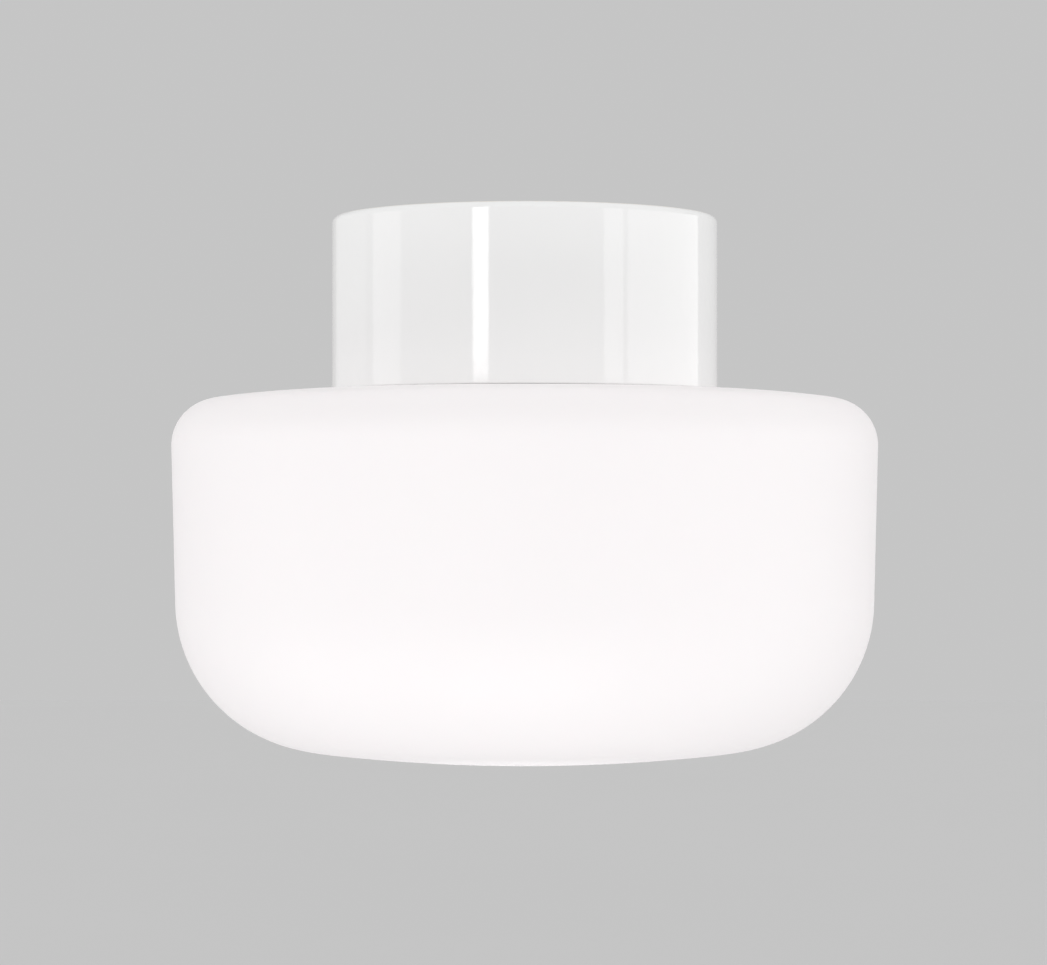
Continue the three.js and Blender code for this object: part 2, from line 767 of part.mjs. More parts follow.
function terminalBlock() {
  let body = block(blockWidth, blockDepth, blockBottom, blockTop);
  const cell = block(cellSize, blockDepth + cutOverrun, cellTop - cellSize, cellTop);
  const access = rod(clampScrewHead / 2 + slipGap, blockBottom - cutOverrun, poleLevel, smallSides);
  for (const share of polePlacesShares) {
    body = body.subtract(cell.translate([share * polePitch, 0, 0]));
    for (const side of bothSides) {
      body = body.subtract(access.translate([share * polePitch, side * clampScrewSpacing / 2, 0]));
    }
  }
  const bore = rod(blockScrewDiameter / 2 + holeGap, poleLevel, blockTop + cutOverrun, smallSides);
  return body.subtract(bore);
}

function terminalClamp() {
  let body = block(clampSize, clampLength, poleLevel - clampSize / 2, poleLevel + clampSize / 2);
  const bore = rod(clampBore / 2, 0, clampLength + 2 * cutOverrun, smallSides).rotate([90, 0, 0]);
  body = body.subtract(bore.translate([0, clampLength / 2 + cutOverrun, poleLevel]));
  const hole = rod(clampScrewDiameter / 2 + slipGap / 2, poleLevel - clampSize, poleLevel, smallSides);
  for (const side of bothSides) body = body.subtract(hole.translate([0, side * clampScrewSpacing / 2, 0]));
  return body;
}

function clampScrew() {
  return screw({
    diameter: clampScrewDiameter, head: clampScrewHead, headHeight: clampScrewHeadHeight,
    headTop: poleLevel - clampSize / 2 - seatGap, end: poleLevel - clampScrewReach,
  });
}

// Leads

function lead(points) {
  const path = new THREE.CatmullRomCurve3(points.map(([x, y, z]) => new THREE.Vector3(x, y, z)));
  const section = new THREE.Shape();
  section.absarc(0, 0, leadRadius, 0, Math.PI * 2);
  const options = { steps: leadSteps, extrudePath: path, curveSegments: leadSides / 2 };
  return solid(new THREE.ExtrudeGeometry(section, options));
}

// The point on a pole's side that faces the lampholder, a given way out of the clamp.
function poleEnd(share, out) {
  const along = polePitch * share;
  const inward = blockPlace - clampLength / 2 - out;
  const [cos, sin] = [Math.cos(blockAngle), Math.sin(blockAngle)];
  return [inward * cos - along * sin, inward * sin + along * cos, poleLevel];
}

// A point at an angle round an upright axis, at a given radius and level.
function roundAxis(axisX, degrees, radius, level) {
  const angle = THREE.MathUtils.degToRad(degrees);
  return [axisX + radius * Math.cos(angle), radius * Math.sin(angle), level];
}

const leadRadius = leadDiameter / 2;
const leadRun = holderRadius + leadDiameter + leadRadius;
const leadUnderEars = earBottom - seatGap - holderHeadHeight - leadDiameter;
const terminalFace = terminalInner() + terminalDepth;
const outOfBlock = (blockDepth - clampLength) / 2 + leadRadius;

// The last two points of a lead that runs straight into a terminal, on the side named by its sign.
function intoTerminal(side) {
  const x = -side * terminalWirePlace;
  const face = terminalFace + slipGap;
  return [[x, side * (face + leadRadius), terminalMiddle()], [x, side * face, terminalMiddle()]];
}

function leadLive() {
  return lead([
    poleEnd(-1, slipGap), poleEnd(-1, outOfBlock), roundAxis(0, liveAngle, leadRun, poleLevel),
    ...intoTerminal(-1),
  ]);
}

function leadNeutral() {
  const between = (poleLevel + leadUnderEars) / 2;
  const levels = [between, leadUnderEars, leadUnderEars, between, poleLevel - leadRadius];
  return lead([
    poleEnd(0, slipGap), poleEnd(0, outOfBlock),
    ...neutralAngles.map((angle, i) => roundAxis(0, angle, leadRun, levels[i])), ...intoTerminal(1),
  ]);
}

const lugTop = bridgeBottom - seatGap;
const lugMiddle = lugTop - lugBarrelDiameter / 2;
const lugRadius = earthHeadDiameter / 2 + lugRim;

// A point on the line of the lug's barrel, a given way past its mouth.
function pastBarrel(out) {
  const reach = lugRadius + lugBarrelLength + out;
  const [x, y] = [reach * Math.cos(lugAngle), reach * Math.sin(lugAngle)];
  return [earthTabPlace + x, earthScrewPlace() + y, lugMiddle];
}

function leadEarth() {
  const run = nutWidth / Math.sqrt(3) + leadDiameter;
  const reaches = [run, run, run + leadRadius];
  return lead([
    poleEnd(1, slipGap), poleEnd(1, outOfBlock),
    ...earthAngles.map((angle, i) => roundAxis(bridgeScrewPlace, angle, reaches[i], lugMiddle)),
    pastBarrel(leadDiameter), pastBarrel(slipGap),
  ]);
}

// A ring tongue with its crimped barrel towards +X.
function earthLug() {
  const plate = slotted(3 * lugRadius, 2 * lugRadius, lugTop - lugThickness, lugTop);
  const hole = bored(earthScrewDiameter / 2 + holeGap, lugTop - lugThickness, lugTop);
  const barrel = rod(lugBarrelDiameter / 2, 0, lugBarrelLength, smallSides).rotate([0, 90, 0]);
  const tongue = plate.translate([lugRadius / 2, 0, 0]).subtract(hole);
  return tongue.add(barrel.translate([lugRadius, 0, lugMiddle]));
}

function earthScrew() {
  return screw({
    diameter: earthScrewDiameter, head: earthHeadDiameter, headHeight: earthHeadHeight,
    headTop: lugTop - lugThickness - seatGap, end: bridgeTop + screwPointLength,
  });
}

// Shade

// The outline is four tangent arcs and a straight tapered side; an inset moves it inwards by a wall.
function shadeOutline(inset) {
  const flat = baseRadius + shoulderFlatMargin;
  const crownCentre = [flat, shadeSeat - shoulderCrownRadius];
  const cornerR = shadeDiameter / 2 - topCornerRadius;
  const across = cornerR - flat;
  const rise = Math.sqrt((shoulderCrownRadius - topCornerRadius) ** 2 - across ** 2);
  const corner = [cornerR, crownCentre[1] + rise];
  const meet = Math.atan2(rise, across);
  const sideStart = [cornerR + topCornerRadius * Math.cos(sideTaper),
    corner[1] - topCornerRadius * Math.sin(sideTaper)];
  const bottomCentre = shadeBottom + bottomCrownRadius;
  const down = [-Math.sin(sideTaper), -Math.cos(sideTaper)];
  const inside = [-Math.cos(sideTaper), Math.sin(sideTaper)];
  const start = [sideStart[0] + bottomCornerRadius * inside[0],
    sideStart[1] + bottomCornerRadius * inside[1] - bottomCentre];
  const along = start[0] * down[0] + start[1] * down[1];
  const reach = start[0] ** 2 + start[1] ** 2 - (bottomCrownRadius - bottomCornerRadius) ** 2;
  const run = -along + Math.sqrt(along ** 2 - reach);
  const foot = [start[0] + run * down[0], start[1] + run * down[1] + bottomCentre];
  const footAngle = Math.atan2(foot[1] - bottomCentre, foot[0]);
  return [
    ...arc(...crownCentre, shoulderCrownRadius - inset, Math.PI / 2, meet, edgeSteps),
    ...arc(...corner, topCornerRadius - inset, meet, -sideTaper).slice(1),
    ...arc(...foot, bottomCornerRadius - inset, -sideTaper, footAngle, arcSteps + 2),
    ...arc(0, bottomCentre, bottomCrownRadius - inset, footAngle, -Math.PI / 2, edgeSteps).slice(1),
  ];
}

function shadeGlass() {
  const body = turned([[0, shadeSeat], ...shadeOutline(0)], largeSides);
  const neck = threadColumn({
    core: neckCore, depth: neckThreadDepth, pitch: neckThreadPitch, bottom: shadeSeat - glassThickness,
    top: shadeSeat + neckHeight, fade: neckFadeLength, sides: largeSides, ringsPerTurn: threadRingsPerTurn,
  });
  const underside = shadeSeat - glassThickness;
  const neckEnd = shadeSeat + neckHeight + cutOverrun;
  const fillet = arc(neckBoreRadius + neckFilletRadius, underside + neckFilletRadius, neckFilletRadius,
    Math.PI, Math.PI * 3 / 2, edgeSteps);
  const hollow = turned([
    [0, neckEnd], [neckBoreRadius, neckEnd], ...fillet, ...shadeOutline(glassThickness),
  ], largeSides);
  return body.add(neck).subtract(hollow);
}

function shadeGasket() {
  return ring(collarBore, gasketOuter, gasketBottom, gasketTop, largeSides);
}

// LED bulb

const seamAngle = Math.asin((bulbSeam - domeCentre) / domeRadius);
const seamRadius = domeRadius * Math.cos(seamAngle);
const housingTop = capBottom - seatGap;
const ledBoardTop = bulbSeam + ledChipHeight;
const ledBoardRadius = seamRadius - ledBoardMargin;
const stemRadius = capBoreRadius - slipGap;
const stemBore = stemRadius - bulbWall;

function bulbDome() {
  const inner = Math.asin((bulbSeam - seatGap / 2 - domeCentre) / (domeRadius - bulbWall));
  const edge = bulbSeam - seatGap / 2;
  return turned([
    ...arc(0, domeCentre, domeRadius, -Math.PI / 2, seamAngle, arcSteps + edgeSteps).slice(0, -1),
    [seamRadius, edge],
    ...arc(0, domeCentre, domeRadius - bulbWall, inner, -Math.PI / 2, arcSteps),
  ], mediumSides);
}

// The housing flares on a smooth step from the cap to the dome's seam.
function housingProfile(inset) {
  const neckRadius = capDiameter / 2 + housingNeckMargin;
  const points = [];
  for (let i = 0; i <= arcSteps; i += 1) {
    const share = i / arcSteps;
    const straight = share * housingFlareShare;
    const ease = straight + (1 - straight) * Math.sin(share * Math.PI / 2) ** 2;
    points.push([neckRadius + (seamRadius - neckRadius) * ease - inset,
      housingTop + (bulbSeam + seatGap / 2 - housingTop) * share]);
  }
  return points;
}

function bulbHousing() {
  const stemTop = housingTop + housingNeckLength;
  const inside = housingProfile(bulbWall);
  const seat = ledBoardTop + spreaderThickness + 2 * seatGap;
  const wide = ledBoardRadius + slipGap;
  const narrow = wide - housingLedge;
  const shoulder = housingTop - bulbWall;
  const above = inside.filter(([, z]) => z > seat + housingLedge && z < shoulder);
  return turned([
    [stemRadius, stemTop], [stemRadius, housingTop], ...housingProfile(0), [wide, bulbSeam + seatGap / 2],
    [wide, seat], [narrow, seat], ...above.reverse().map(([r, z]) => [Math.min(r, narrow), z]),
    [inside[0][0], shoulder], [stemBore, shoulder], [stemBore, stemTop],
  ], mediumSides);
}

function bulbCap() {
  const thread = threadColumn({
    core: capCore, depth: capThreadDepth, pitch: capThreadPitch, bottom: capThreadEnd, top: capTop,
    fade: capThreadPitch / 2, sides: capSides, ringsPerTurn: capRingsPerTurn,
  });
  const skirt = rod(capDiameter / 2, capBottom, capThreadEnd, capSides);
  const collar = rod(capCore, capThreadEnd - cutOverrun, capThreadEnd + cutOverrun, capSides);
  const bore = bored(capBoreRadius, capBottom, capTop, capSides);
  return thread.add(collar).add(skirt).subtract(bore);
}

function bulbCapInsulator() {
  const brim = capCore - slipGap;
  const plug = capBoreRadius - slipGap;
  const top = insulatorTopDiameter / 2;
  return turned([
    [0, insulatorTop], [top - insulatorChamfer, insulatorTop], [top, insulatorTop - insulatorChamfer],
    [brim, insulatorBottom + insulatorHeight / 4], [brim, insulatorBottom], [plug, insulatorBottom],
    [plug, capTop - insulatorPlugLength], [0, capTop - insulatorPlugLength],
  ], mediumSides);
}

function bulbContact() {
  const radius = contactDiameter / 2;
  return turned([
    [0, bulbTop], [radius / 2, bulbTop], [radius, bulbTop - contactHeight / 2],
    [radius, bulbTop - contactHeight], [0, bulbTop - contactHeight],
  ], grommetSides);
}

function bulbHeatSpreader() {
  const top = ledBoardTop + spreaderThickness + seatGap;
  return rod(ledBoardRadius, ledBoardTop + seatGap, top, mediumSides);
}

function bulbLedBoard() {
  let board = rod(ledBoardRadius, ledBoardTop - ledBoardThickness, ledBoardTop, mediumSides);
  const chipBottom = ledBoardTop - ledBoardThickness - ledChipHeight;
  const chip = block(ledChipSize, ledChipSize, chipBottom, ledBoardTop - ledBoardThickness / 2);
  for (let i = 0; i < ledChipCount; i += 1) {
    const turn = 360 * i / ledChipCount;
    board = board.add(chip.translate([ledBoardRadius - ledChipInset, 0, 0]).rotate([0, 0, turn]));
  }
  return board;
}

// The driver stands on the spreader and reaches up into the cap.
function bulbDriverBoard() {
  const bottom = ledBoardTop + spreaderThickness + 2 * seatGap;
  const top = capThreadEnd;
  const middle = (top + bottom) / 2;
  const board = block(2 * (stemBore - driverSideGap), driverBoardThickness, bottom, top);
  const can = rod(driverPartDiameter / 2, bottom + driverPartHeight, middle, smallSides);
  const coil = block(driverPartDiameter, driverPartHeight * 2, middle + driverPartHeight / 2,
    top - driverPartHeight);
  const side = driverBoardThickness / 2 + driverPartDiameter / 2 - driverBoardThickness / 4;
  return board.add(can.translate([0, side, 0])).add(coil);
}

// Assembly

add('base_shell', baseShell(), porcelain());
add('rear_seal', rearSeal(), softRubber());
bothSides.forEach((side, i) => {
  add(`fixing_seal_${i + 1}`, fixingSeal(), softRubber(), 0, fixingPlaces[i], upright);
  add(`cable_grommet_${i + 1}`, cableGrommet(), blackRubber(), ...entryPlaces[i]);
  add(`bridge_screw_${i + 1}`, bridgeScrew(), steel(), bridgeScrewPlaces[i]);
  add(`bridge_washer_${i + 1}`, bridgeWasher(), fibre(), bridgeScrewPlaces[i]);
  add(`bridge_nut_${i + 1}`, bridgeNut(), steel(), bridgeScrewPlaces[i]);
  add(`holder_screw_${i + 1}`, holderScrew(), steel(), holderScrewPlaces[i]);
  add(`holder_rivet_${i + 1}`, holderRivet(), brass(), side * rivetPlace);
  add(`holder_terminal_${i + 1}`, holderTerminal(), brass(), 0, 0, upright - side * upright);
  add(`holder_terminal_screw_${i + 1}`, holderTerminalScrew(), steel(), 0, 0, upright - side * upright);
});
add('mounting_bridge', mountingBridge(), steel());
add('insulating_sheet', insulatingSheet(), fibre());
add('holder_body', holderBody(), porcelain());
add('holder_shell', holderShell(), brass());
add('centre_contact_foot', contactFoot(), brass());
add('centre_contact_tongue', contactTongue(), brass());

const blockTurn = blockAngle + upright;
add('terminal_block', terminalBlock(), whitePlastic(), ...blockCentre, blockTurn);
add('block_screw', blockScrew(), steel(), ...blockCentre);
polePlacesShares.forEach((share, i) => {
  const pole = [blockCentre[0] + share * polePitch * Math.cos(blockTurn),
    blockCentre[1] + share * polePitch * Math.sin(blockTurn)];
  add(`terminal_clamp_${i + 1}`, terminalClamp(), brass(), ...pole, blockTurn);
  bothSides.forEach((side, k) => {
    const [x, y] = [pole[0] - side * clampScrewSpacing / 2 * Math.sin(blockTurn),
      pole[1] + side * clampScrewSpacing / 2 * Math.cos(blockTurn)];
    add(`clamp_screw_${2 * i + k + 1}`, clampScrew(), steel(), x, y, blockTurn);
  });
});
add('lead_live', leadLive(), finish(0x6b3f22, 0.45));
add('lead_neutral', leadNeutral(), finish(0x2a6fb8, 0.45));
add('lead_earth', leadEarth(), finish(0x4f9b3c, 0.45));
add('earth_lug', earthLug(), nickel(), earthTabPlace, earthScrewPlace(), lugAngle);
add('earth_screw', earthScrew(), brass(), earthTabPlace, earthScrewPlace());

add('shade_gasket', shadeGasket(), softRubber());
add('shade_glass', shadeGlass(), opalGlass());

add('bulb_cap', bulbCap(), nickel());
add('bulb_cap_insulator', bulbCapInsulator(), finish(0x1c1c1e, 0.3));
add('bulb_contact', bulbContact(), nickel());
add('bulb_housing', bulbHousing(), whitePlastic());
add('bulb_heat_spreader', bulbHeatSpreader(), finish(0xc7cacd, 0.4, 1));
add('bulb_led_board', bulbLedBoard(), finish(0xf4f3ee, 0.5));
add('bulb_driver_board', bulbDriverBoard(), finish(0x2f6b43, 0.6));
add('bulb_dome', bulbDome(), finish(0xf7f7f5, 0.5));

export default lamp;
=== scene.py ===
"""The finished surfaces, the light and the camera of an outdoor wall lamp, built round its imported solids.

Lengths are millimetres until a mesh is made, and meshes are in metres. Z is up, and the rear face is at
zero."""
import json
import math

import bpy
import numpy as np
from mathutils import Matrix, Vector


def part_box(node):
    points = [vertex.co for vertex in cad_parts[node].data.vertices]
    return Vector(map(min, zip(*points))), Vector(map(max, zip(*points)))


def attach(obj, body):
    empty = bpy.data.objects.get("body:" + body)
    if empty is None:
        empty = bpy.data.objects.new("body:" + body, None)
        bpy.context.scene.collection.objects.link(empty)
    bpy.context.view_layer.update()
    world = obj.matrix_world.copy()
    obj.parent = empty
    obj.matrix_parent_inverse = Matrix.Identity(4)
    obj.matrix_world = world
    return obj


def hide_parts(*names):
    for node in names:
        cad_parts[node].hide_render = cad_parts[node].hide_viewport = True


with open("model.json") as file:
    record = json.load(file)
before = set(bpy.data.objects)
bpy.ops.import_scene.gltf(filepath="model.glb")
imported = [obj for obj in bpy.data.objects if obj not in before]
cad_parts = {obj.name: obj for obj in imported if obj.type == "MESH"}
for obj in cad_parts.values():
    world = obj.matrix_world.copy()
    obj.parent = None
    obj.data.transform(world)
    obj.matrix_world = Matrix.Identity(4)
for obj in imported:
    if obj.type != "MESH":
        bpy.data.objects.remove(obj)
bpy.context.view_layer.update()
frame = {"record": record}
scene = bpy.context.scene
record = frame["record"]
body_of = {node: body for body, nodes in record["behaviour"]["bodies"].items() for node in nodes}
slot_of = {part["node"]: part["material_slot"] for part in record["subparts"]}
colour_of = {entry["slot"]: (*entry["base_color"][:3], 1) for entry in record["materials"]}

MM = 0.001
TINY = 1e-6
OVERRUN = 1
PAIR = (1, 2)
FULL_TURN = 2 * math.pi

# Clearances, and the radii of edges from a sheared strip's to a cast lip's
SEAT_GAP = 0.3
SLIP_GAP = 0.3
HOLE_GAP = 0.35
HAIR_EDGE = 0.08
KEEN_EDGE = 0.1
FINE_EDGE = 0.12
CRISP_EDGE = 0.15
NEAT_EDGE = 0.2
STAMPED_EDGE = 0.25
EDGE = 0.3
LIP_EDGE = 0.4
SOFT_EDGE = 0.5
FULL_EDGE = 0.6
ROUND_EDGE = 0.8

# Sides of turned shapes, and steps along their arcs
FEW_SIDES = 16
SCREW_SIDES = 28
WAY_SIDES = 40
SMALL_SIDES = 48
MIDDLE_SIDES = 64
PLATE_SIDES = 96
BOARD_SIDES = 128
CAP_SIDES = 144
HOLDER_SIDES = 160
BASE_SIDES = 192
GLASS_SIDES = 256
LIP_STEPS = 5
FINE_STEPS = 8

# Porcelain base and its collar
FLOOR_THICKNESS = 8
REAR_EDGE = 1.8
MOUTH_EDGE = 0.5
MOUTH_WALL = 3.7
COLLAR_LEDGE = 3.2
COLLAR_HEIGHT = 13
COLLAR_SLOPE = 4
COLLAR_MARGIN = 1
COLLAR_FADE = 2
COLLAR_LIP = 0.7
SLOPE_FILLET = 1.5
CAVITY_FILLET = 3
FOOT_FILLET = 1.2
RIM_GAP = 0.4
PAD_RADIUS = 7
PAD_HEIGHT = 3
BOSS_HEIGHT = 5
BOSS_WALL = 3.4
SLOT_LENGTH = 9.5
SLOT_WIDTH = 5.5
ENTRY_RADIUS = 6.5

# Screws, each by the diameters of its shank and its head and by its head's height, and nuts
BRIDGE_SCREW = (4, 7, 2.2)
HOLDER_SCREW = (3, 5.6, 2)
BLOCK_SCREW = (3, 5.4, 1.8)
EARTH_SCREW = (4, 7, 2.2)
CLAMP_SCREW = (2.4, 3, 2.2)
TERMINAL_SCREW = (2.6, 4.6, 1.3)
TERMINAL_SCREW_LENGTH = 3.6
COARSE_PITCH = 0.7
FINE_PITCH = 0.5
THREAD_DEPTH_SHARE = 0.55
HEAD_CROWN_SHARE = 1 / 3
DRIVE_WIDTH_SHARE = 1 / 6
DRIVE_DEPTH_SHARE = 1 / 2
DRIVE_CORNER_SHARE = 1 / 3
DRIVE_EDGE_SHARE = 1 / 50
POINT_SHARE = 1 / 4
PLAIN_SHANK = 0.2
SCREW_ROWS = 8
FROM_THE_REAR = ("bridge_screw_1", "bridge_screw_2", "block_screw")
NUT_WIDTH = 7
NUT_CHAMFER = 0.9
NUT_CHAMFER_DROP = 0.5
NUT_THREAD_DEPTH = 0.28
NUT_ROWS = 10
BRIDGE_TURN, HOLDER_TURN, CLAMP_TURN, EARTH_TURN = 20, 35, 31, 70
EARTH_TAB_WIDTH = 10

# Grommets
FLANGE_THICKNESS = 1.6
NIPPLE_RADIUS = 2.5
NIPPLE_FILLET = 0.7
SKIN = 1

# Lampholder
EAR_WIDTH = 17
EAR_THICKNESS = 6.8
HOLDER_WALL = 5.9
STRIP_THICKNESS = 0.5
STRIP_WIDTH = 4
TAB_WIDTH = 5
RIVET_RADIUS = 1.2
RIVET_HEAD_RISE = 0.3
CHANNEL_DEPTH = 2.3
SHELL_SKIN = 0.5
SHELL_OVER = 1.7
SHELL_MARGIN = 0.4
SHELL_FADE = 1.2
SHELL_SIDES = 120
TAB_OVERLAP = 1
TAB_BEND = 0.9
TONGUE_BEND = 2.5
PUNCH_DEPTH = 0.15
PUNCH_FLOOR, PUNCH_BRIM = 0.5, 0.9
RIVET_CROOK = 0.04
HOLDER_EDGE = 0.9
SOCKET_LIP = 1
TERMINAL_WIDTH = 11
TERMINAL_DEPTH = 5
TERMINAL_HEIGHT = 5.2
TERMINAL_SCREW_PLACE = 2.2
TERMINAL_WIRE_PLACE = 3

# Terminal block
BLOCK_TURN = 45
BLOCK_WIDTH = 27
BLOCK_DEPTH = 14
BLOCK_CORNER = 1.4
POLE_PITCH = 8.5
CLAMP_SIZE = 5
CLAMP_LENGTH = 11
CLAMP_CORNER = 1
CLAMP_EDGE = 0.35
CLAMP_BORE = 3
CLAMP_SCREW_SPACING = 6
GROOVE_WIDTH = 1.2
GROOVE_DEPTH = 1.4

# Leads, with the angles round an upright axis that they pass
LEAD_RADIUS = 1.1
CORE_RADIUS = 0.75
COVER_END = 0.02
CURVE_STEPS, LEAD_ROWS, LEAD_SIDES = 160, 180, 24
BARE_RUN = 0.8
LIVE_ANGLE = -72
NEUTRAL_ANGLES = (-33, -2, 30, 62, 86)
EARTH_ANGLES = (-120, -65, -15)
LUG_ANGLE = -45
LUG_THICKNESS = 0.8
LUG_BARREL_RADIUS = 1.7
LUG_BARREL_LENGTH = 6
LUG_RIM = 0.5
LUG_ROWS = 24
CRIMP_DEPTH = 0.35
CRIMP_REACH = 1.1

# LED bulb; the margins are the plain runs below and above a thread
CAP_PITCH = 3.629
CAP_THREAD_DEPTH = 1
CAP_SKIRT = 3.5
CAP_SKIN = 0.45
CAP_WALL = 0.8
CAP_ROWS = 22
ROLL_END = 80
CAP_MARGINS = (0.4, 0.6)
DENT_COUNT = 8
DENT_DEPTH = 0.45
DENT_REACH = 0.7
CONTACT_RIM = 0.5
CROWN_STEPS = 14
INSULATOR_TOP_RADIUS = 7.5
FLARE_SHARE = 1 / 3
BULB_WALL = 1.4
DOME_STEPS = (48, 40)
FLARE_STEPS = 40
HOUSING_LEDGE = 1.6
LEDGE_LIP = 1
WIRE_WAY = 1.6
BOARD_THICKNESS = 1.5
CHIP_SIZE = 3
CHIP_INSET = 7
CHIP_COUNT = 8
DRIVER_THICKNESS = 1.6
PART_HEIGHT = 5
DRIVER_CORNER = 0.7
CAN_OVERLAP = 0.4
BEAD_DEPTH = 0.4
BEAD_LEVELS = (1.1, 1.6, 2.1)
REEL_CHEEK = 1.2
REEL_CORNER = 1
WINDING_INSET = 0.7
WINDING_MARGIN = 0.5
WINDING_CORNER = 2
CHIP_MARK = 0.06
PART_MARK = 0.05

# Soft rings
GASKET_WIDTH = 7.4
REAR_SEAL_WIDTH = 4.4
REAR_SEAL_DEPTH = 2
SEAL_LIP = 0.3
GASKET_EDGE = 0.7

# Glass, with the steps of its outline's four arcs, and margins like the cap's
OUTLINE_STEPS = (12, 18, 30, 14)
GLASS_WALL = 3.6
SHOULDER_FLAT_MARGIN = 3.6
SHOULDER_CROWN = 224
TOP_CORNER = 13.2
SIDE_TAPER = math.radians(1.47)
BOTTOM_CORNER = 42.4
BOTTOM_CROWN = 489
NECK_THREAD_DEPTH = 1.5
NECK_THREAD_PITCH = 6
NECK_THREAD_GAP = 0.55
NECK_WALL = 3.75
NECK_FILLET = 3
NECK_ROOT_FILLET = 1.5
NECK_MARGINS = (2, 1.8)
NECK_FADE = 2.5
NECK_RIM = 1.5


def low(node):
    """A solid's lowest corner, in millimetres."""
    return np.array(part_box(node)[0]) / MM


def high(node):
    """A solid's highest corner, in millimetres."""
    return np.array(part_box(node)[1]) / MM


def middle(node):
    return (low(node) + high(node)) / 2


def spot(node):
    """The place in plan of a solid's middle."""
    return middle(node)[:2]


def levels(node):
    """A solid's lowest and highest level."""
    return low(node)[2], high(node)[2]


# Outlines and skins

def arc(centre_r, centre_z, radius, start, end, steps=FINE_STEPS):
    """Points centre + radius (cos a, sin a), whose angle a runs evenly from start to end, in degrees."""
    angle = np.radians(np.linspace(start, end, steps + 1))
    return np.stack((centre_r + radius * np.cos(angle), centre_z + radius * np.sin(angle)), 1)


def rounded(*corners, steps=LIP_STEPS):
    """An outline through the corners (r, z, radius). A corner with a radius is the arc that touches both
    of its runs; the ends of an open outline have none."""
    points = []
    for i, (r, z, radius) in enumerate(corners):
        here = np.array((r, z), float)
        if not radius:
            points.append(here[None])
            continue
        ways = [np.array(corners[k % len(corners)][:2]) - here for k in (i - 1, i + 1)]
        before, after = (way / np.linalg.norm(way) for way in ways)
        half = math.acos(np.clip(before @ after, -1, 1)) / 2
        inward = (before + after) / np.linalg.norm(before + after)
        centre = here + inward * radius / math.sin(half)
        start, end = (here + way * radius / math.tan(half) - centre for way in (before, after))
        first = math.atan2(start[1], start[0])
        turn = math.remainder(math.atan2(end[1], end[0]) - first, FULL_TURN)
        points.append(arc(*centre, radius, math.degrees(first), math.degrees(first + turn), steps))
    return np.concatenate(points)


def threaded(radius, depth, bottom, top, fade, pitch, side, rows=16):
    """Rows (r, z, wave) of a thread that grows outwards (side 1) or inwards (side -1) from a radius: its
    depth rises over the fade at both ends, and half of it is the wave that turned() lays round the row."""
    z = np.linspace(bottom, top, int((top - bottom) / pitch * rows) + 1)
    wave = depth / 2 * np.clip(np.minimum(z - bottom, top - z) / fade, 0, 1)
    return np.stack((radius + side * wave, z, wave), 1)[1:-1]


def plain(outline):
    """An outline's points with no wave."""
    return np.pad(outline, ((0, 0), (0, 1)))


def shell(points, *faces):
    """A closed mesh, in metres, of points and of arrays of their numbers, one row for each face. The sum of
    p0 . (p1 x p2) over its triangles says whether the faces point inwards, and then all are turned."""
    volume = sum(np.einsum("ni,nki->", points[f[:, 0]], np.cross(points[f[:, 1:-1]], points[f[:, 2:]]))
                 for f in faces)
    if volume < 0:
        faces = [f[:, ::-1] for f in faces]
    mesh = bpy.data.meshes.new("skin")
    sizes = np.concatenate([np.full(len(f), f.shape[1]) for f in faces])
    corners = np.concatenate([f.ravel() for f in faces]).astype(np.int32)
    mesh.vertices.add(len(points))
    mesh.vertices.foreach_set("co", (points * MM).ravel())
    mesh.loops.add(len(corners))
    mesh.loops.foreach_set("vertex_index", corners)
    mesh.polygons.add(len(sizes))
    mesh.polygons.foreach_set("loop_start", np.concatenate(([0], np.cumsum(sizes)[:-1])).astype(np.int32))
    mesh.update(calc_edges=True)
    return mesh


def skinned(grid, closed=False):
    """The skin over a grid of points whose columns run round and whose rows run along. Where it is closed
    its last row meets its first; else an end row that is one point is a pole, and any other gets a flat
    face."""
    poles = [not closed and bool(np.ptp(grid[end], 0).max() < TINY) for end in (0, -1)]
    rings = grid[int(poles[0]):len(grid) - int(poles[1])]
    number = np.arange(rings.shape[0] * rings.shape[1]).reshape(rings.shape[:2])
    if closed:
        number = np.concatenate((number, number[:1]))
    ahead = np.roll(number, -1, 1)
    points = [rings.reshape(-1, 3)]
    faces = [np.stack((number[:-1], ahead[:-1], ahead[1:], number[1:]), -1).reshape(-1, 4)]
    ends = () if closed else ((0, ahead[0], number[0]), (-1, number[-1], ahead[-1]))
    for end, here, onward in ends:
        if poles[end]:
            tip = np.full_like(here, sum(map(len, points)))
            points.append(grid[end, :1])
            faces.append(np.stack((here, onward, tip), -1))
        else:
            faces.append((number[-1] if end else number[0][::-1])[None])
    return shell(np.concatenate(points), *faces)


def quarters(sides, spread):
    """The angles of a turned row, a quarter at a time, and the signs of each quarter's place; a border
    between two quarters that are moved apart has both of its ends."""
    angles, signs = [], []
    for quarter, sign in enumerate(((1, 1), (-1, 1), (-1, -1), (1, -1))):
        parted = int(spread[quarter % 2] > 0)
        steps = sides // 4
        angle = (quarter + np.arange(steps + parted) / steps) * FULL_TURN / 4
        angles.append(angle)
        signs.append(np.tile(sign, (len(angle), 1)))
    return np.concatenate(angles), np.concatenate(signs)


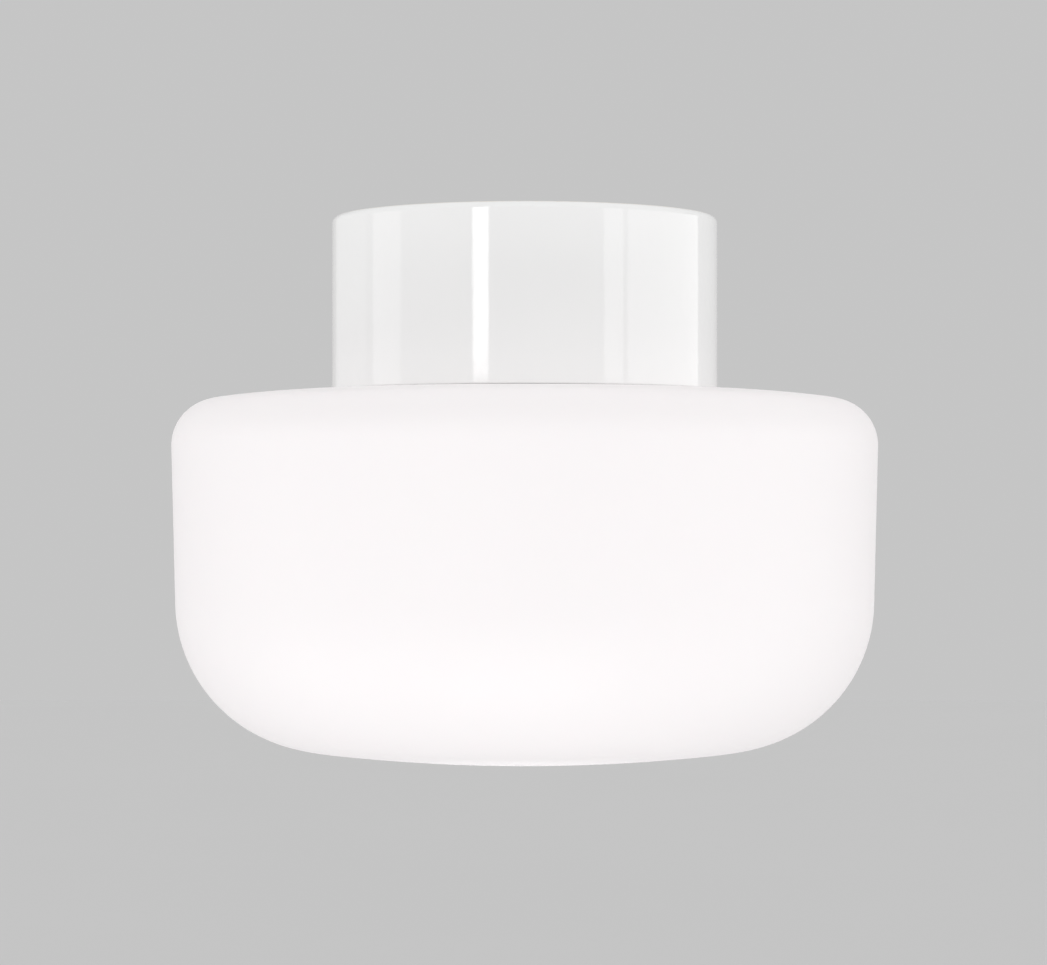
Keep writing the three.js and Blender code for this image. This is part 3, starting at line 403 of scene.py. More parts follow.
def turned(profile, sides=PLATE_SIDES, spread=(0, 0), pitch=1, closed=False, trim=None):
    """A profile turned about Z. Round the angle a, the point (r, z, wave) reaches r + wave cos(a - 2 pi z /
    pitch), and trim may change that reach. A spread moves the four quarters apart by so much each way, so a
    circle becomes a slot or a box with round corners."""
    profile = np.asarray(profile, float)
    if profile.shape[1] == 2:
        profile = plain(profile)
    r, z, wave = (column[:, None] for column in profile.T)
    angle, sign = quarters(sides, spread)
    reach = r + wave * np.cos(angle - FULL_TURN * z / pitch)
    if trim:
        reach = trim(reach, angle, z)
    x = reach * np.cos(angle) + sign[:, 0] * spread[0]
    y = reach * np.sin(angle) + sign[:, 1] * spread[1]
    return skinned(np.stack((x, y, np.broadcast_to(z, x.shape)), -1), closed)


def rod(radius, bottom, top, edge=EDGE, sides=SMALL_SIDES):
    return turned(rounded((0, bottom, 0), (radius, bottom, edge), (radius, top, edge), (0, top, 0)), sides)


def ring(inner, outer, bottom, top, edge, sides=BASE_SIDES):
    corners = ((inner, bottom), (outer, bottom), (outer, top), (inner, top))
    return turned(rounded(*[(*corner, edge) for corner in corners]), sides, closed=True)


def plate(length, width, bottom, top, corner, edge=EDGE, sides=MIDDLE_SIDES):
    """A plate with round corners and rounded edges, its length along X and its middle on Z."""
    profile = np.concatenate((arc(corner - edge, bottom + edge, edge, -90, 0, LIP_STEPS),
                              arc(corner - edge, top - edge, edge, 0, 90, LIP_STEPS)))
    return turned(profile, sides, (length / 2 - corner, width / 2 - corner))


def hole(radius, bottom, top, lip=EDGE, spread=(0, 0), sides=SMALL_SIDES):
    """A cutter for a hole or a slot with two rounded lips; it runs past both faces."""
    profile = np.concatenate((
        [(radius + lip, bottom - OVERRUN)],
        arc(radius + lip, bottom + lip, lip, 270, 180, LIP_STEPS),
        arc(radius + lip, top - lip, lip, 180, 90, LIP_STEPS),
        [(radius + lip, top + OVERRUN)]))
    return turned(profile, sides, spread)


def placed(shape, x=0, y=0, z=0, turn=0, tilt=0):
    """A copy of a shape, tilted about X, turned about Z and moved, in degrees and millimetres."""
    copy = shape.copy()
    turns = Matrix.Rotation(math.radians(turn), 4, "Z") @ Matrix.Rotation(math.radians(tilt), 4, "X")
    copy.transform(Matrix.Translation(Vector((x, y, z)) * MM) @ turns)
    return copy


def combined(how, shape, tools):
    """A shape with closed tools joined to it or cut from it."""
    meshes = [shape, *tools]
    items = [bpy.data.objects.new(f"step_{i}", mesh) for i, mesh in enumerate(meshes)]
    for item in items:
        scene.collection.objects.link(item)
    for tool in items[1:]:
        step = items[0].modifiers.new(tool.name, "BOOLEAN")
        step.operation, step.solver, step.object = how, "MANIFOLD", tool
    depsgraph = bpy.context.evaluated_depsgraph_get()
    result = bpy.data.meshes.new_from_object(items[0].evaluated_get(depsgraph))
    for item, mesh in zip(items, meshes):
        bpy.data.objects.remove(item)
        bpy.data.meshes.remove(mesh)
    return result


def joined(shape, *tools):
    return combined("UNION", shape, tools)


def carved(shape, *tools):
    return combined("DIFFERENCE", shape, tools)


def set_points(mesh, label, values):
    """Gives each point of a mesh a value, which its finish reads under the label."""
    mesh.attributes.new(label, "FLOAT", "POINT").data.foreach_set("value", values.astype(np.float32))


def piece(name, node, shape, sharp=32):
    """A finished piece that stands for a solid: smooth but for edges sharper than an angle in degrees, with
    normals weighted by the faces' areas, and with the solid's body and finish."""
    item = bpy.data.objects.new(name, shape)
    scene.collection.objects.link(item)
    shape.shade_smooth()
    shape.set_sharp_from_angle(angle=math.radians(sharp))
    weighting = item.modifiers.new("weighting", "WEIGHTED_NORMAL")
    weighting.keep_sharp = True
    depsgraph = bpy.context.evaluated_depsgraph_get()
    item.data = bpy.data.meshes.new_from_object(item.evaluated_get(depsgraph))
    item.modifiers.clear()
    bpy.data.meshes.remove(shape)
    item.data.name = name
    item.data.materials.clear()
    item.data.materials.append(finish_of(slot_of[node]))
    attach(item, body_of[node])
    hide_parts(node)
    return item


# Shader groups

def node(tree, kind, inputs=None, **settings):
    """A shader node with its settings, and its inputs as values or as the sockets that feed them."""
    item = tree.nodes.new(kind)
    for name, value in settings.items():
        setattr(item, name, value)
    for name, value in (inputs or {}).items():
        if isinstance(value, bpy.types.NodeSocket):
            tree.links.new(value, item.inputs[name])
        else:
            item.inputs[name].default_value = value
    return item


def group(name, inputs, outputs):
    """An empty node group, its inputs' sockets inside and the node that takes its outputs."""
    tree = bpy.data.node_groups.new(name, "ShaderNodeTree")
    for label, kind in inputs.items():
        tree.interface.new_socket(label, in_out="INPUT", socket_type=f"NodeSocket{kind}")
    for label, kind in outputs.items():
        tree.interface.new_socket(label, in_out="OUTPUT", socket_type=f"NodeSocket{kind}")
    return tree, tree.nodes.new("NodeGroupInput").outputs, tree.nodes.new("NodeGroupOutput").inputs


def wandering(tree, given, detail, roughness):
    """A noise between 0 and 1, and the factor 1 + share (noise - 1/2) that follows it."""
    noise = node(tree, "ShaderNodeTexNoise", {"Vector": given["Vector"], "Scale": given["Scale"],
                                              "Detail": detail, "Roughness": roughness}).outputs["Fac"]
    centred = node(tree, "ShaderNodeMath", {0: noise, 1: 0.5}, operation="SUBTRACT")
    factor = node(tree, "ShaderNodeMath", {0: centred.outputs[0], 1: given["Share"], 2: 1},
                  operation="MULTIPLY_ADD")
    return noise, factor.outputs[0]


def drift_group():
    """A colour whose brightness drifts by a share either way over soft patches."""
    tree, given, out = group("tone_drift", {"Vector": "Vector", "Color": "Color", "Scale": "Float",
                                            "Share": "Float"}, {"Color": "Color"})
    drift = wandering(tree, given, detail=3, roughness=0.55)[1]
    toned = node(tree, "ShaderNodeVectorMath", {0: given["Color"], 1: drift}, operation="MULTIPLY")
    tree.links.new(toned.outputs[0], out["Color"])
    return tree


def grain_group():
    """A fine even grain: its height, and a roughness that follows it by a share."""
    tree, given, out = group("fine_grain", {"Vector": "Vector", "Scale": "Float", "Roughness": "Float",
                                            "Share": "Float"}, {"Height": "Float", "Roughness": "Float"})
    noise, share = wandering(tree, given, detail=4, roughness=0.6)
    rough = node(tree, "ShaderNodeMath", {0: share, 1: given["Roughness"]}, operation="MULTIPLY")
    tree.links.new(noise, out["Height"])
    tree.links.new(rough.outputs[0], out["Roughness"])
    return tree


def streak_group():
    """Long streaks in one direction, as a rolled, drawn or turned metal has them: a grain whose vector is
    squeezed by a factor for each axis."""
    tree, given, out = group("streaks", {"Vector": "Vector", "Squeeze": "Vector", "Roughness": "Float",
                                         "Share": "Float"}, {"Height": "Float", "Roughness": "Float"})
    squeezed = node(tree, "ShaderNodeVectorMath", {0: given["Vector"], 1: given["Squeeze"]},
                    operation="MULTIPLY")
    grain = node(tree, "ShaderNodeGroup", {"Vector": squeezed.outputs[0], "Scale": 1,
                                           "Roughness": given["Roughness"], "Share": given["Share"]},
                 node_tree=GRAIN)
    tree.links.new(grain.outputs["Height"], out["Height"])
    tree.links.new(grain.outputs["Roughness"], out["Roughness"])
    return tree


DRIFT = drift_group()
GRAIN = grain_group()
STREAKS = streak_group()


# Finishes

def new_material(name, **sockets):
    """A material, its tree, its shader with the given values on its own sockets, and its place vector."""
    material = bpy.data.materials.new(name)
    material.use_nodes = True
    shader = material.node_tree.nodes["Principled BSDF"]
    for label, value in sockets.items():
        shader.inputs[label.replace("_", " ")].default_value = value
    place = node(material.node_tree, "ShaderNodeTexCoord").outputs["Object"]
    return material, material.node_tree, shader, place


def feed(tree, shader, **sources):
    for label, source in sources.items():
        tree.links.new(source, shader.inputs[label.replace("_", " ")])


def drifted(tree, place, colour, scale, share):
    return node(tree, "ShaderNodeGroup", {"Vector": place, "Color": colour, "Scale": scale, "Share": share},
                node_tree=DRIFT).outputs["Color"]


def surfaced(tree, shader, colour, grain, depth):
    """Feeds a shader with a colour, and with a grain's roughness and its height that is worth so many
    millimetres."""
    bump = node(tree, "ShaderNodeBump", {"Height": grain["Height"], "Distance": depth * MM})
    feed(tree, shader, Base_Color=colour, Roughness=grain["Roughness"], Normal=bump.outputs["Normal"])


def grained(tree, place, scale, roughness, share):
    return node(tree, "ShaderNodeGroup", {"Vector": place, "Scale": scale, "Roughness": roughness,
                                          "Share": share}, node_tree=GRAIN).outputs


def streaked(tree, place, squeeze, roughness, share):
    return node(tree, "ShaderNodeGroup", {"Vector": place, "Squeeze": squeeze, "Roughness": roughness,
                                          "Share": share}, node_tree=STREAKS).outputs


def stepped(tree, value, start, end):
    """A mask that runs smoothly from 0 at start to 1 at end."""
    return node(tree, "ShaderNodeMapRange", {"Value": value, "From Min": start, "From Max": end},
                interpolation_type="SMOOTHSTEP").outputs["Result"]


def point_value(tree, label):
    """What set_points() gave the points of a mesh."""
    return node(tree, "ShaderNodeAttribute", attribute_name=label).outputs["Fac"]


def mixed(tree, mask, first, second):
    return node(tree, "ShaderNodeMix", {0: mask, 6: first, 7: second}, data_type="RGBA").outputs[2]


def blended(tree, mask, first, second):
    return node(tree, "ShaderNodeMix", {0: mask, 2: first, 3: second}).outputs[0]


GLAZE = (0.885, 0.885, 0.882, 1)
BARE_PORCELAIN = (0.74, 0.7, 0.63, 1)
OPAL = (0.958, 0.916, 0.924, 1)
COPPER = (0.72, 0.36, 0.2, 1)
YELLOW = (0.75, 0.62, 0.03, 1)
PHOSPHOR = (0.86, 0.68, 0.12, 1)
SLEEVE = (0.03, 0.03, 0.035, 1)
SOFT_LIGHT = {"Subsurface_Weight": 0.15, "Subsurface_Scale": 0.002, "Subsurface_Radius": (1, 1, 0.95)}
GLAZE_END = (-0.05, 0.2)
GLAZE_RAGGEDNESS = 0.5


def porcelain():
    """White glaze that lies in very soft waves; the rim that stands on the wall is bare and matt."""
    material, tree, shader, place = new_material("white_glaze", IOR=1.52)
    level = node(tree, "ShaderNodeSeparateXYZ", {0: place}).outputs["Z"]
    edge = grained(tree, place, scale=900, roughness=0, share=0)["Height"]
    ragged = node(tree, "ShaderNodeMath", {0: edge, 1: GLAZE_RAGGEDNESS * MM, 2: level},
                  operation="MULTIPLY_ADD").outputs[0]
    bare = stepped(tree, ragged, GLAZE_END[0] * MM, GLAZE_END[1] * MM)
    glaze = drifted(tree, place, GLAZE, scale=22, share=0.03)
    body = drifted(tree, place, BARE_PORCELAIN, scale=260, share=0.16)
    waves = grained(tree, place, scale=55, roughness=0.07, share=0.3)
    pores = grained(tree, place, scale=2600, roughness=0.8, share=0.3)
    both = {kind: blended(tree, bare, waves[kind], pores[kind]) for kind in ("Height", "Roughness")}
    surfaced(tree, shader, mixed(tree, bare, glaze, body), both, depth=0.05)
    return material


def opal_glass():
    """White glass etched matt: a fine frost, soft clouds of tone, and light that goes a little way in."""
    material, tree, shader, place = new_material(
        "etched_opal", IOR=1.5, Subsurface_Weight=0.2, Subsurface_Scale=0.006,
        Subsurface_Radius=(1, 0.9, 0.92), Specular_IOR_Level=0.35)
    frost = grained(tree, place, scale=5200, roughness=0.5, share=0.25)
    surfaced(tree, shader, drifted(tree, place, OPAL, scale=14, share=0.02), frost, depth=0.012)
    return material


def moulded(slot, roughness, scale, depth, drift=0.04, **sockets):
    """A moulded piece: an even grain, and a tone that drifts a little."""
    material, tree, shader, place = new_material(slot, **sockets)
    grain = grained(tree, place, scale, roughness, share=0.25)
    surfaced(tree, shader, drifted(tree, place, colour_of[slot], scale=60, share=drift), grain, depth)
    return material


def metal(slot, roughness, squeeze, depth, drift=0.14):
    """Bare or plated metal with streaks along its working, and a skin that has dulled in patches."""
    material, tree, shader, place = new_material(slot, Metallic=1)
    streaks = streaked(tree, place, squeeze, roughness, share=0.5)
    surfaced(tree, shader, drifted(tree, place, colour_of[slot], scale=140, share=drift), streaks, depth)
    return material


def fibre():
    """Pressed red fibre: flecks lie flat in the sheet and show darker."""
    material, tree, shader, place = new_material("red_fibre")
    flecks = streaked(tree, place, squeeze=(900, 300, 2500), roughness=0.72, share=0.3)
    toned = drifted(tree, place, colour_of["fibre"], scale=700, share=0.5)
    surfaced(tree, shader, toned, flecks, depth=0.03)
    return material


def insulated(slot, stripe=None):
    """Soft wire covering, with a second colour along one side if it has a stripe, and bare copper at both
    ends."""
    material, tree, shader, place = new_material(slot)
    bare = point_value(tree, "bare")
    cover = drifted(tree, place, colour_of[slot], scale=200, share=0.1)
    if stripe:
        cover = mixed(tree, stepped(tree, point_value(tree, "stripe"), -0.05, 0.05), cover, stripe)
    copper = drifted(tree, place, COPPER, scale=400, share=0.2)
    grain = grained(tree, place, scale=900, roughness=0.38, share=0.3)
    surfaced(tree, shader, mixed(tree, bare, cover, copper), grain, depth=0.008)
    feed(tree, shader, Metallic=bare)
    return material


def masked(slot, label, second, roughness):
    """A board, with a second colour where its points have a one under the label."""
    material, tree, shader, place = new_material(slot)
    own = drifted(tree, place, colour_of[slot], scale=90, share=0.08)
    grain = grained(tree, place, 1500, roughness, share=0.3)
    surfaced(tree, shader, mixed(tree, point_value(tree, label), own, second), grain, depth=0.01)
    return material


# A moulding's numbers are its roughness, its grain's scale and depth, and the share that its tone drifts by;
# a metal's are its roughness, its streaks' squeeze and depth, and that share. Depths are in millimetres.
FINISHES = {
    "porcelain": porcelain,
    "opal_glass": opal_glass,
    "seal_rubber": lambda: moulded("seal_rubber", 0.55, 1400, 0.02, **SOFT_LIGHT),
    "grommet_rubber": lambda: moulded("grommet_rubber", 0.7, 1800, 0.03, 0.35),
    "zinc_steel": lambda: metal("zinc_steel", 0.34, (300, 2600, 2600), 0.006),
    "fibre": fibre,
    "brass": lambda: metal("brass", 0.28, (2400, 400, 400), 0.005, 0.2),
    "nickel": lambda: metal("nickel", 0.22, (260, 260, 3000), 0.004, 0.08),
    "block_plastic": lambda: moulded("block_plastic", 0.42, 1100, 0.015, **SOFT_LIGHT),
    "lead_brown": lambda: insulated("lead_brown"),
    "lead_blue": lambda: insulated("lead_blue"),
    "lead_green": lambda: insulated("lead_green", YELLOW),
    "cap_insulator": lambda: moulded("cap_insulator", 0.14, 300, 0.02, 0.2),
    "bulb_plastic": lambda: moulded("bulb_plastic", 0.36, 900, 0.01),
    "bulb_diffuser": lambda: moulded("bulb_diffuser", 0.5, 2600, 0.01, **SOFT_LIGHT),
    "aluminium": lambda: metal("aluminium", 0.3, (200, 2400, 2400), 0.005, 0.06),
    "board_white": lambda: masked("board_white", "chips", PHOSPHOR, 0.4),
    "board_green": lambda: masked("board_green", "parts", SLEEVE, 0.35),
}
finished = {}


def finish_of(slot):
    """The material of a slot, made when it is first asked for."""
    if slot not in finished:
        finished[slot] = FINISHES[slot]()
    return finished[slot]


# Radii and levels that several pieces share
base_radius = high("base_shell")[0]
mouth = low("base_shell")[2]
recess_radius = base_radius - MOUTH_WALL
recess_face = high("shade_gasket")[2] + RIM_GAP
collar_bore = high("shade_gasket")[0] - GASKET_WIDTH
collar_top = recess_face + COLLAR_HEIGHT
cavity_radius = collar_bore + COLLAR_LEDGE
neck_core = collar_bore - NECK_THREAD_GAP - NECK_THREAD_DEPTH
shade_seat = mouth - RIM_GAP
floor_face = -FLOOR_THICKNESS
pad_face = floor_face - PAD_HEIGHT
boss_face = floor_face - BOSS_HEIGHT
strip_top = high("centre_contact_foot")[2]
socket_floor = strip_top + SEAT_GAP
socket_radius = high("holder_body")[1] - HOLDER_WALL
rivet_place = middle("holder_rivet_2")[0]
terminal_inner = high("holder_body")[1] - TERMINAL_SCREW[2] - SEAT_GAP - TERMINAL_DEPTH
terminal_middle = middle("holder_terminal_screw_2")[2]
pole_level = middle("terminal_clamp_1")[2]
lug_radius = EARTH_SCREW[1] / 2 + LUG_RIM
stem_radius = high("bulb_cap")[0] - CAP_THREAD_DEPTH - CAP_WALL - SLIP_GAP
housing_top = low("bulb_cap")[2] - SEAT_GAP


# Porcelain base

def base_section():
    """From the middle of the rear face out past the seal's groove, down the wall, round the mouth and the
    gasket's recess, up the collar's thread and the cavity, and back along the floor."""
    groove_outer = high("rear_seal")[0] + SLIP_GAP
    groove_inner = high("rear_seal")[0] - REAR_SEAL_WIDTH - SLIP_GAP
    thread_bottom, thread_top = recess_face + COLLAR_MARGIN, collar_top - COLLAR_MARGIN
    outside = rounded(
        (0, 0, 0), (groove_inner, 0, LIP_EDGE), (groove_inner, -REAR_SEAL_DEPTH, SOFT_EDGE),
        (groove_outer, -REAR_SEAL_DEPTH, SOFT_EDGE), (groove_outer, 0, LIP_EDGE),
        (base_radius, 0, REAR_EDGE), (base_radius, mouth, MOUTH_EDGE),
        (recess_radius, mouth, ROUND_EDGE), (recess_radius, recess_face, FULL_EDGE),
        (collar_bore, recess_face, FULL_EDGE), (collar_bore, thread_bottom, 0), steps=FINE_STEPS)
    thread = threaded(collar_bore, NECK_THREAD_DEPTH, thread_bottom, thread_top, COLLAR_FADE,
                      NECK_THREAD_PITCH, -1)
    inside = rounded(
        (collar_bore, thread_top, 0), (collar_bore, collar_top, COLLAR_LIP),
        (cavity_radius, collar_top + COLLAR_SLOPE, SLOPE_FILLET),
        (cavity_radius, floor_face, CAVITY_FILLET), (0, floor_face, 0), steps=FINE_STEPS)
    return np.concatenate((plain(outside), thread, plain(inside)))


def standing_boss(radius, face, spread, x, y):
    """A boss under the floor, with a rounded edge and a hollow fillet at its foot."""
    profile = np.concatenate((
        arc(radius - ROUND_EDGE, face + ROUND_EDGE, ROUND_EDGE, -90, 0),
        arc(radius + FOOT_FILLET, floor_face - FOOT_FILLET, FOOT_FILLET, 180, 90),
        [(radius + FOOT_FILLET, floor_face + OVERRUN)]))
    return placed(turned(profile, MIDDLE_SIDES, spread), x, y)


def seated_hole(size, seat, bottom, x, y):
    """A screw's hole from the rear, with a wider seat for its head; its lips are rounded."""
    shank, head = (diameter / 2 + HOLE_GAP for diameter in size[:2])
    profile = np.concatenate((
        [(shank + LIP_EDGE, bottom - OVERRUN)],
        arc(shank + LIP_EDGE, bottom + LIP_EDGE, LIP_EDGE, 270, 180, LIP_STEPS),
        [(shank, seat), (head, seat)],
        arc(head + LIP_EDGE, -LIP_EDGE, LIP_EDGE, 180, 90, LIP_STEPS),
        [(head + LIP_EDGE, OVERRUN)]))
    return placed(turned(profile, SMALL_SIDES), x, y)


def base():
    slot_spread = (0, (SLOT_LENGTH - SLOT_WIDTH) / 2)
    fixings = [spot(f"fixing_seal_{i}") for i in PAIR]
    screws = [spot(f"bridge_screw_{i}") for i in PAIR]
    entries = [spot(f"cable_grommet_{i}") for i in PAIR]
    boss_radius = SLOT_WIDTH / 2 + BOSS_WALL
    additions = [standing_boss(boss_radius, boss_face, slot_spread, *place) for place in fixings]
    additions += [standing_boss(PAD_RADIUS, pad_face, (0, 0), *place) for place in screws]
    washer_seat = low("bridge_washer_1")[2] - SEAT_GAP
    block_seat = high("block_screw")[2] - BLOCK_SCREW[2] - SEAT_GAP
    slot = hole(SLOT_WIDTH / 2, boss_face, 0, SOFT_EDGE, slot_spread)
    entry = hole(ENTRY_RADIUS, floor_face, 0, SOFT_EDGE)
    cuts = [placed(slot, *place) for place in fixings] + [placed(entry, *place) for place in entries]
    cuts += [seated_hole(BRIDGE_SCREW, washer_seat, pad_face, *place) for place in screws]
    cuts.append(seated_hole(BLOCK_SCREW, block_seat, floor_face, *spot("block_screw")))
    body = turned(base_section(), BASE_SIDES, pitch=NECK_THREAD_PITCH)
    piece("porcelain_base", "base_shell", carved(joined(body, *additions), *cuts))


# Glass shade

def shade_outline(inset):
    """The drum's half outline from the flat of its shoulder to the middle of its underside: a wide crown, a
    round corner, a tapered side, a wide round corner and a flat crown, each touching the next; an inset
    moves it inwards. Two arcs touch where their centres lie as far apart as their radii differ."""
    flat = base_radius + SHOULDER_FLAT_MARGIN
    crown_z = shade_seat - SHOULDER_CROWN
    corner_r = high("shade_glass")[0] - TOP_CORNER
    rise = math.sqrt((SHOULDER_CROWN - TOP_CORNER) ** 2 - (corner_r - flat) ** 2)
    corner_z = crown_z + rise
    meet = math.degrees(math.atan2(rise, corner_r - flat))
    down = np.array((-math.sin(SIDE_TAPER), -math.cos(SIDE_TAPER)))
    inward = np.array((-math.cos(SIDE_TAPER), math.sin(SIDE_TAPER)))
    side = np.array((corner_r, corner_z)) - inward * TOP_CORNER
    crown_low = low("shade_glass")[2] + BOTTOM_CROWN
    start = side + inward * BOTTOM_CORNER - (0, crown_low)
    along = start @ down
    run = -along + math.sqrt(along ** 2 - start @ start + (BOTTOM_CROWN - BOTTOM_CORNER) ** 2)
    foot = start + run * down + (0, crown_low)
    foot_angle = math.degrees(math.atan2(foot[1] - crown_low, foot[0]))
    taper = -math.degrees(SIDE_TAPER)
    shoulder, corner, turn, crown = OUTLINE_STEPS
    return np.concatenate((
        arc(flat, crown_z, SHOULDER_CROWN - inset, 90, meet, shoulder),
        arc(corner_r, corner_z, TOP_CORNER - inset, meet, taper, corner)[1:],
        arc(*foot, BOTTOM_CORNER - inset, taper, foot_angle, turn),
        arc(0, crown_low, BOTTOM_CROWN - inset, foot_angle, -90, crown)[1:]))


def shade_section():
    """Up the drum's outside to the neck, up the neck's thread, over its rim and down the inside."""
    neck_bore = neck_core - NECK_WALL
    flat = base_radius + SHOULDER_FLAT_MARGIN
    neck_top = high("shade_glass")[2]
    underside = shade_seat - GLASS_WALL
    thread_bottom, thread_top = shade_seat + NECK_MARGINS[0], neck_top - NECK_MARGINS[1]
    outside = shade_outline(0)[::-1]
    root = rounded((flat, shade_seat, 0), (neck_core, shade_seat, NECK_ROOT_FILLET),
                   (neck_core, thread_bottom, 0))[1:]
    thread = threaded(neck_core, NECK_THREAD_DEPTH, thread_bottom, thread_top, NECK_FADE,
                      NECK_THREAD_PITCH, 1)
    rim = rounded((neck_core, thread_top, 0), (neck_core, neck_top, NECK_RIM),
                  (neck_bore, neck_top, NECK_RIM), (neck_bore, underside, NECK_FILLET), (flat, underside, 0),
                  steps=FINE_STEPS)
    inside = shade_outline(GLASS_WALL)[1:]
    return np.concatenate((plain(outside), plain(root), thread, plain(rim), plain(inside)))


def shade():
    body = turned(shade_section(), GLASS_SIDES, pitch=NECK_THREAD_PITCH)
    piece("glass_shade", "shade_glass", body, sharp=60)


def soft_rings():
    """The gasket under the base's recess, the rear seal, and the washers of the two wall screws."""
    gasket = ring(collar_bore, collar_bore + GASKET_WIDTH, *levels("shade_gasket"), GASKET_EDGE)
    piece("neck_gasket", "shade_gasket", gasket)
    outer, bottom = high("rear_seal")[0], low("rear_seal")[2]
    section = rounded((outer - REAR_SEAL_WIDTH, bottom, EDGE), (outer, bottom, EDGE), (outer, 0, ROUND_EDGE),
                      (outer - REAR_SEAL_WIDTH, 0, ROUND_EDGE))
    piece("wall_seal", "rear_seal", turned(section, BASE_SIDES, closed=True))
    spread = ((SLOT_LENGTH - SLOT_WIDTH) / 2, 0)
    for i in PAIR:
        name = f"fixing_seal_{i}"
        length, width = (high(name) - low(name))[[1, 0]]
        washer = carved(plate(length, width, *levels(name), width / 2, SOFT_EDGE),
                        hole((SLOT_WIDTH - SEAL_LIP) / 2, *levels(name), LIP_EDGE, spread))
        piece(f"screw_seal_{i}", name, placed(washer, *spot(name), turn=90))


# Screws, nuts and washers

def screw(size, bottom, top, pitch):
    """A pan head screw that stands on its head: a crown with a cut slot, a shank whose thread has a wave's
    section, and a cone point."""
    diameter, head, head_height = size
    depth = THREAD_DEPTH_SHARE * pitch
    core = diameter / 2 - depth
    head_top = bottom + head_height
    thread_start = head_top + PLAIN_SHANK
    crown = head_height * HEAD_CROWN_SHARE
    point = diameter * POINT_SHARE
    crowned = rounded((0, bottom, 0), (head / 2, bottom, crown), (head / 2, head_top, KEEN_EDGE),
                      (core, head_top, KEEN_EDGE), (core, thread_start, 0))
    thread = threaded(core, depth, thread_start, top - point, pitch, pitch, 1, SCREW_ROWS)
    tip = np.array([(core, top - point), (core - point / 2, top), (0, top)])
    body = turned(np.concatenate((plain(crowned), thread, plain(tip))), SCREW_SIDES, pitch=pitch)
    slot = head * DRIVE_WIDTH_SHARE
    cut = plate(head + OVERRUN, slot, bottom - OVERRUN, bottom + head_height * DRIVE_DEPTH_SHARE,
                slot * DRIVE_CORNER_SHARE, head * DRIVE_EDGE_SHARE, FEW_SIDES)
    return carved(body, cut)


def driven(name, solid, size, turn=0):
    """A screw in its solid's place, driven from below; a solid whose head is above has it turned over."""
    bottom, top = levels(solid)
    if solid in FROM_THE_REAR:
        shape = placed(screw(size, -top, -bottom, COARSE_PITCH), *spot(solid), turn=turn, tilt=180)
    else:
        shape = placed(screw(size, bottom, top, FINE_PITCH), *spot(solid), turn=turn)
    piece(name, solid, shape, sharp=40)


def hexagon(across):
    """A trim that keeps a turned nut inside six flats. At the angle a from the middle of the nearest flat,
    that flat lies across / (2 cos a) from the axis."""
    def trim(reach, angle, z):
        flat = np.cos(np.mod(angle, FULL_TURN / 6) - FULL_TURN / 12)
        return np.minimum(reach, across / 2 / flat)
    return trim


def nut(across, bore, bottom, top):
    """A hexagon nut with turned corners and a threaded bore."""
    corner = across / math.sqrt(3)
    face_radius, mouth_radius = corner - NUT_CHAMFER, bore + HOLE_GAP
    lower, upper = bottom + NUT_CHAMFER_DROP, top - NUT_CHAMFER_DROP
    outside = rounded((mouth_radius, bottom, 0), (face_radius, bottom, KEEN_EDGE),
                      (corner, lower, KEEN_EDGE), (corner, upper, KEEN_EDGE),
                      (face_radius, top, KEEN_EDGE), (mouth_radius, top, 0))
    thread = threaded(bore, NUT_THREAD_DEPTH, bottom + EDGE, top - EDGE, EDGE, COARSE_PITCH, -1, NUT_ROWS)
    profile = np.concatenate((plain(outside), thread[::-1]))
    return turned(profile, PLATE_SIDES, pitch=COARSE_PITCH, closed=True, trim=hexagon(across))


def fasteners():
    bore = BRIDGE_SCREW[0] / 2 + HOLE_GAP
    for i in PAIR:
        driven(f"bridge_bolt_{i}", f"bridge_screw_{i}", BRIDGE_SCREW, BRIDGE_TURN * i)
        driven(f"holder_bolt_{i}", f"holder_screw_{i}", HOLDER_SCREW, HOLDER_TURN * i)
        place = spot(f"bridge_screw_{i}")
        disc = ring(bore, BRIDGE_SCREW[1] / 2, *levels(f"bridge_washer_{i}"), CRISP_EDGE, SMALL_SIDES)
        piece(f"fibre_washer_{i}", f"bridge_washer_{i}", placed(disc, *place))
        body = nut(NUT_WIDTH, bore, *levels(f"bridge_nut_{i}"))
        piece(f"hexagon_nut_{i}", f"bridge_nut_{i}", placed(body, *place), sharp=25)
    driven("block_bolt", "block_screw", BLOCK_SCREW, BLOCK_TURN)
    driven("earth_bolt", "earth_screw", EARTH_SCREW, EARTH_TURN)
    for i in range(1, 7):
        driven(f"clamp_bolt_{i}", f"clamp_screw_{i}", CLAMP_SCREW, CLAMP_TURN * i)


# Bridge, grommets and sheet

def bridge():
    """A strap with round ends and a tab to one side for the earth screw."""
    name = "mounting_bridge"
    (left, front, bottom), (right, back, top) = low(name), high(name)
    width = -2 * front
    strap = plate(right - left, width, bottom, top, width / 2, STAMPED_EDGE, PLATE_SIDES)
    tab = plate(2 * EARTH_TAB_WIDTH, EARTH_TAB_WIDTH, bottom, top, EARTH_TAB_WIDTH / 2, STAMPED_EDGE,
                PLATE_SIDES)
    tab = placed(tab, spot("earth_screw")[0], back - EARTH_TAB_WIDTH, turn=90)
    bores = [(f"bridge_screw_{i}", BRIDGE_SCREW) for i in PAIR]
    bores += [(f"holder_screw_{i}", HOLDER_SCREW) for i in PAIR] + [("earth_screw", EARTH_SCREW)]
    holes = [placed(hole(size[0] / 2 + HOLE_GAP, bottom, top, CRISP_EDGE), *spot(solid))
             for solid, size in bores]
    piece("steel_bridge", name, carved(joined(strap, tab), *holes))


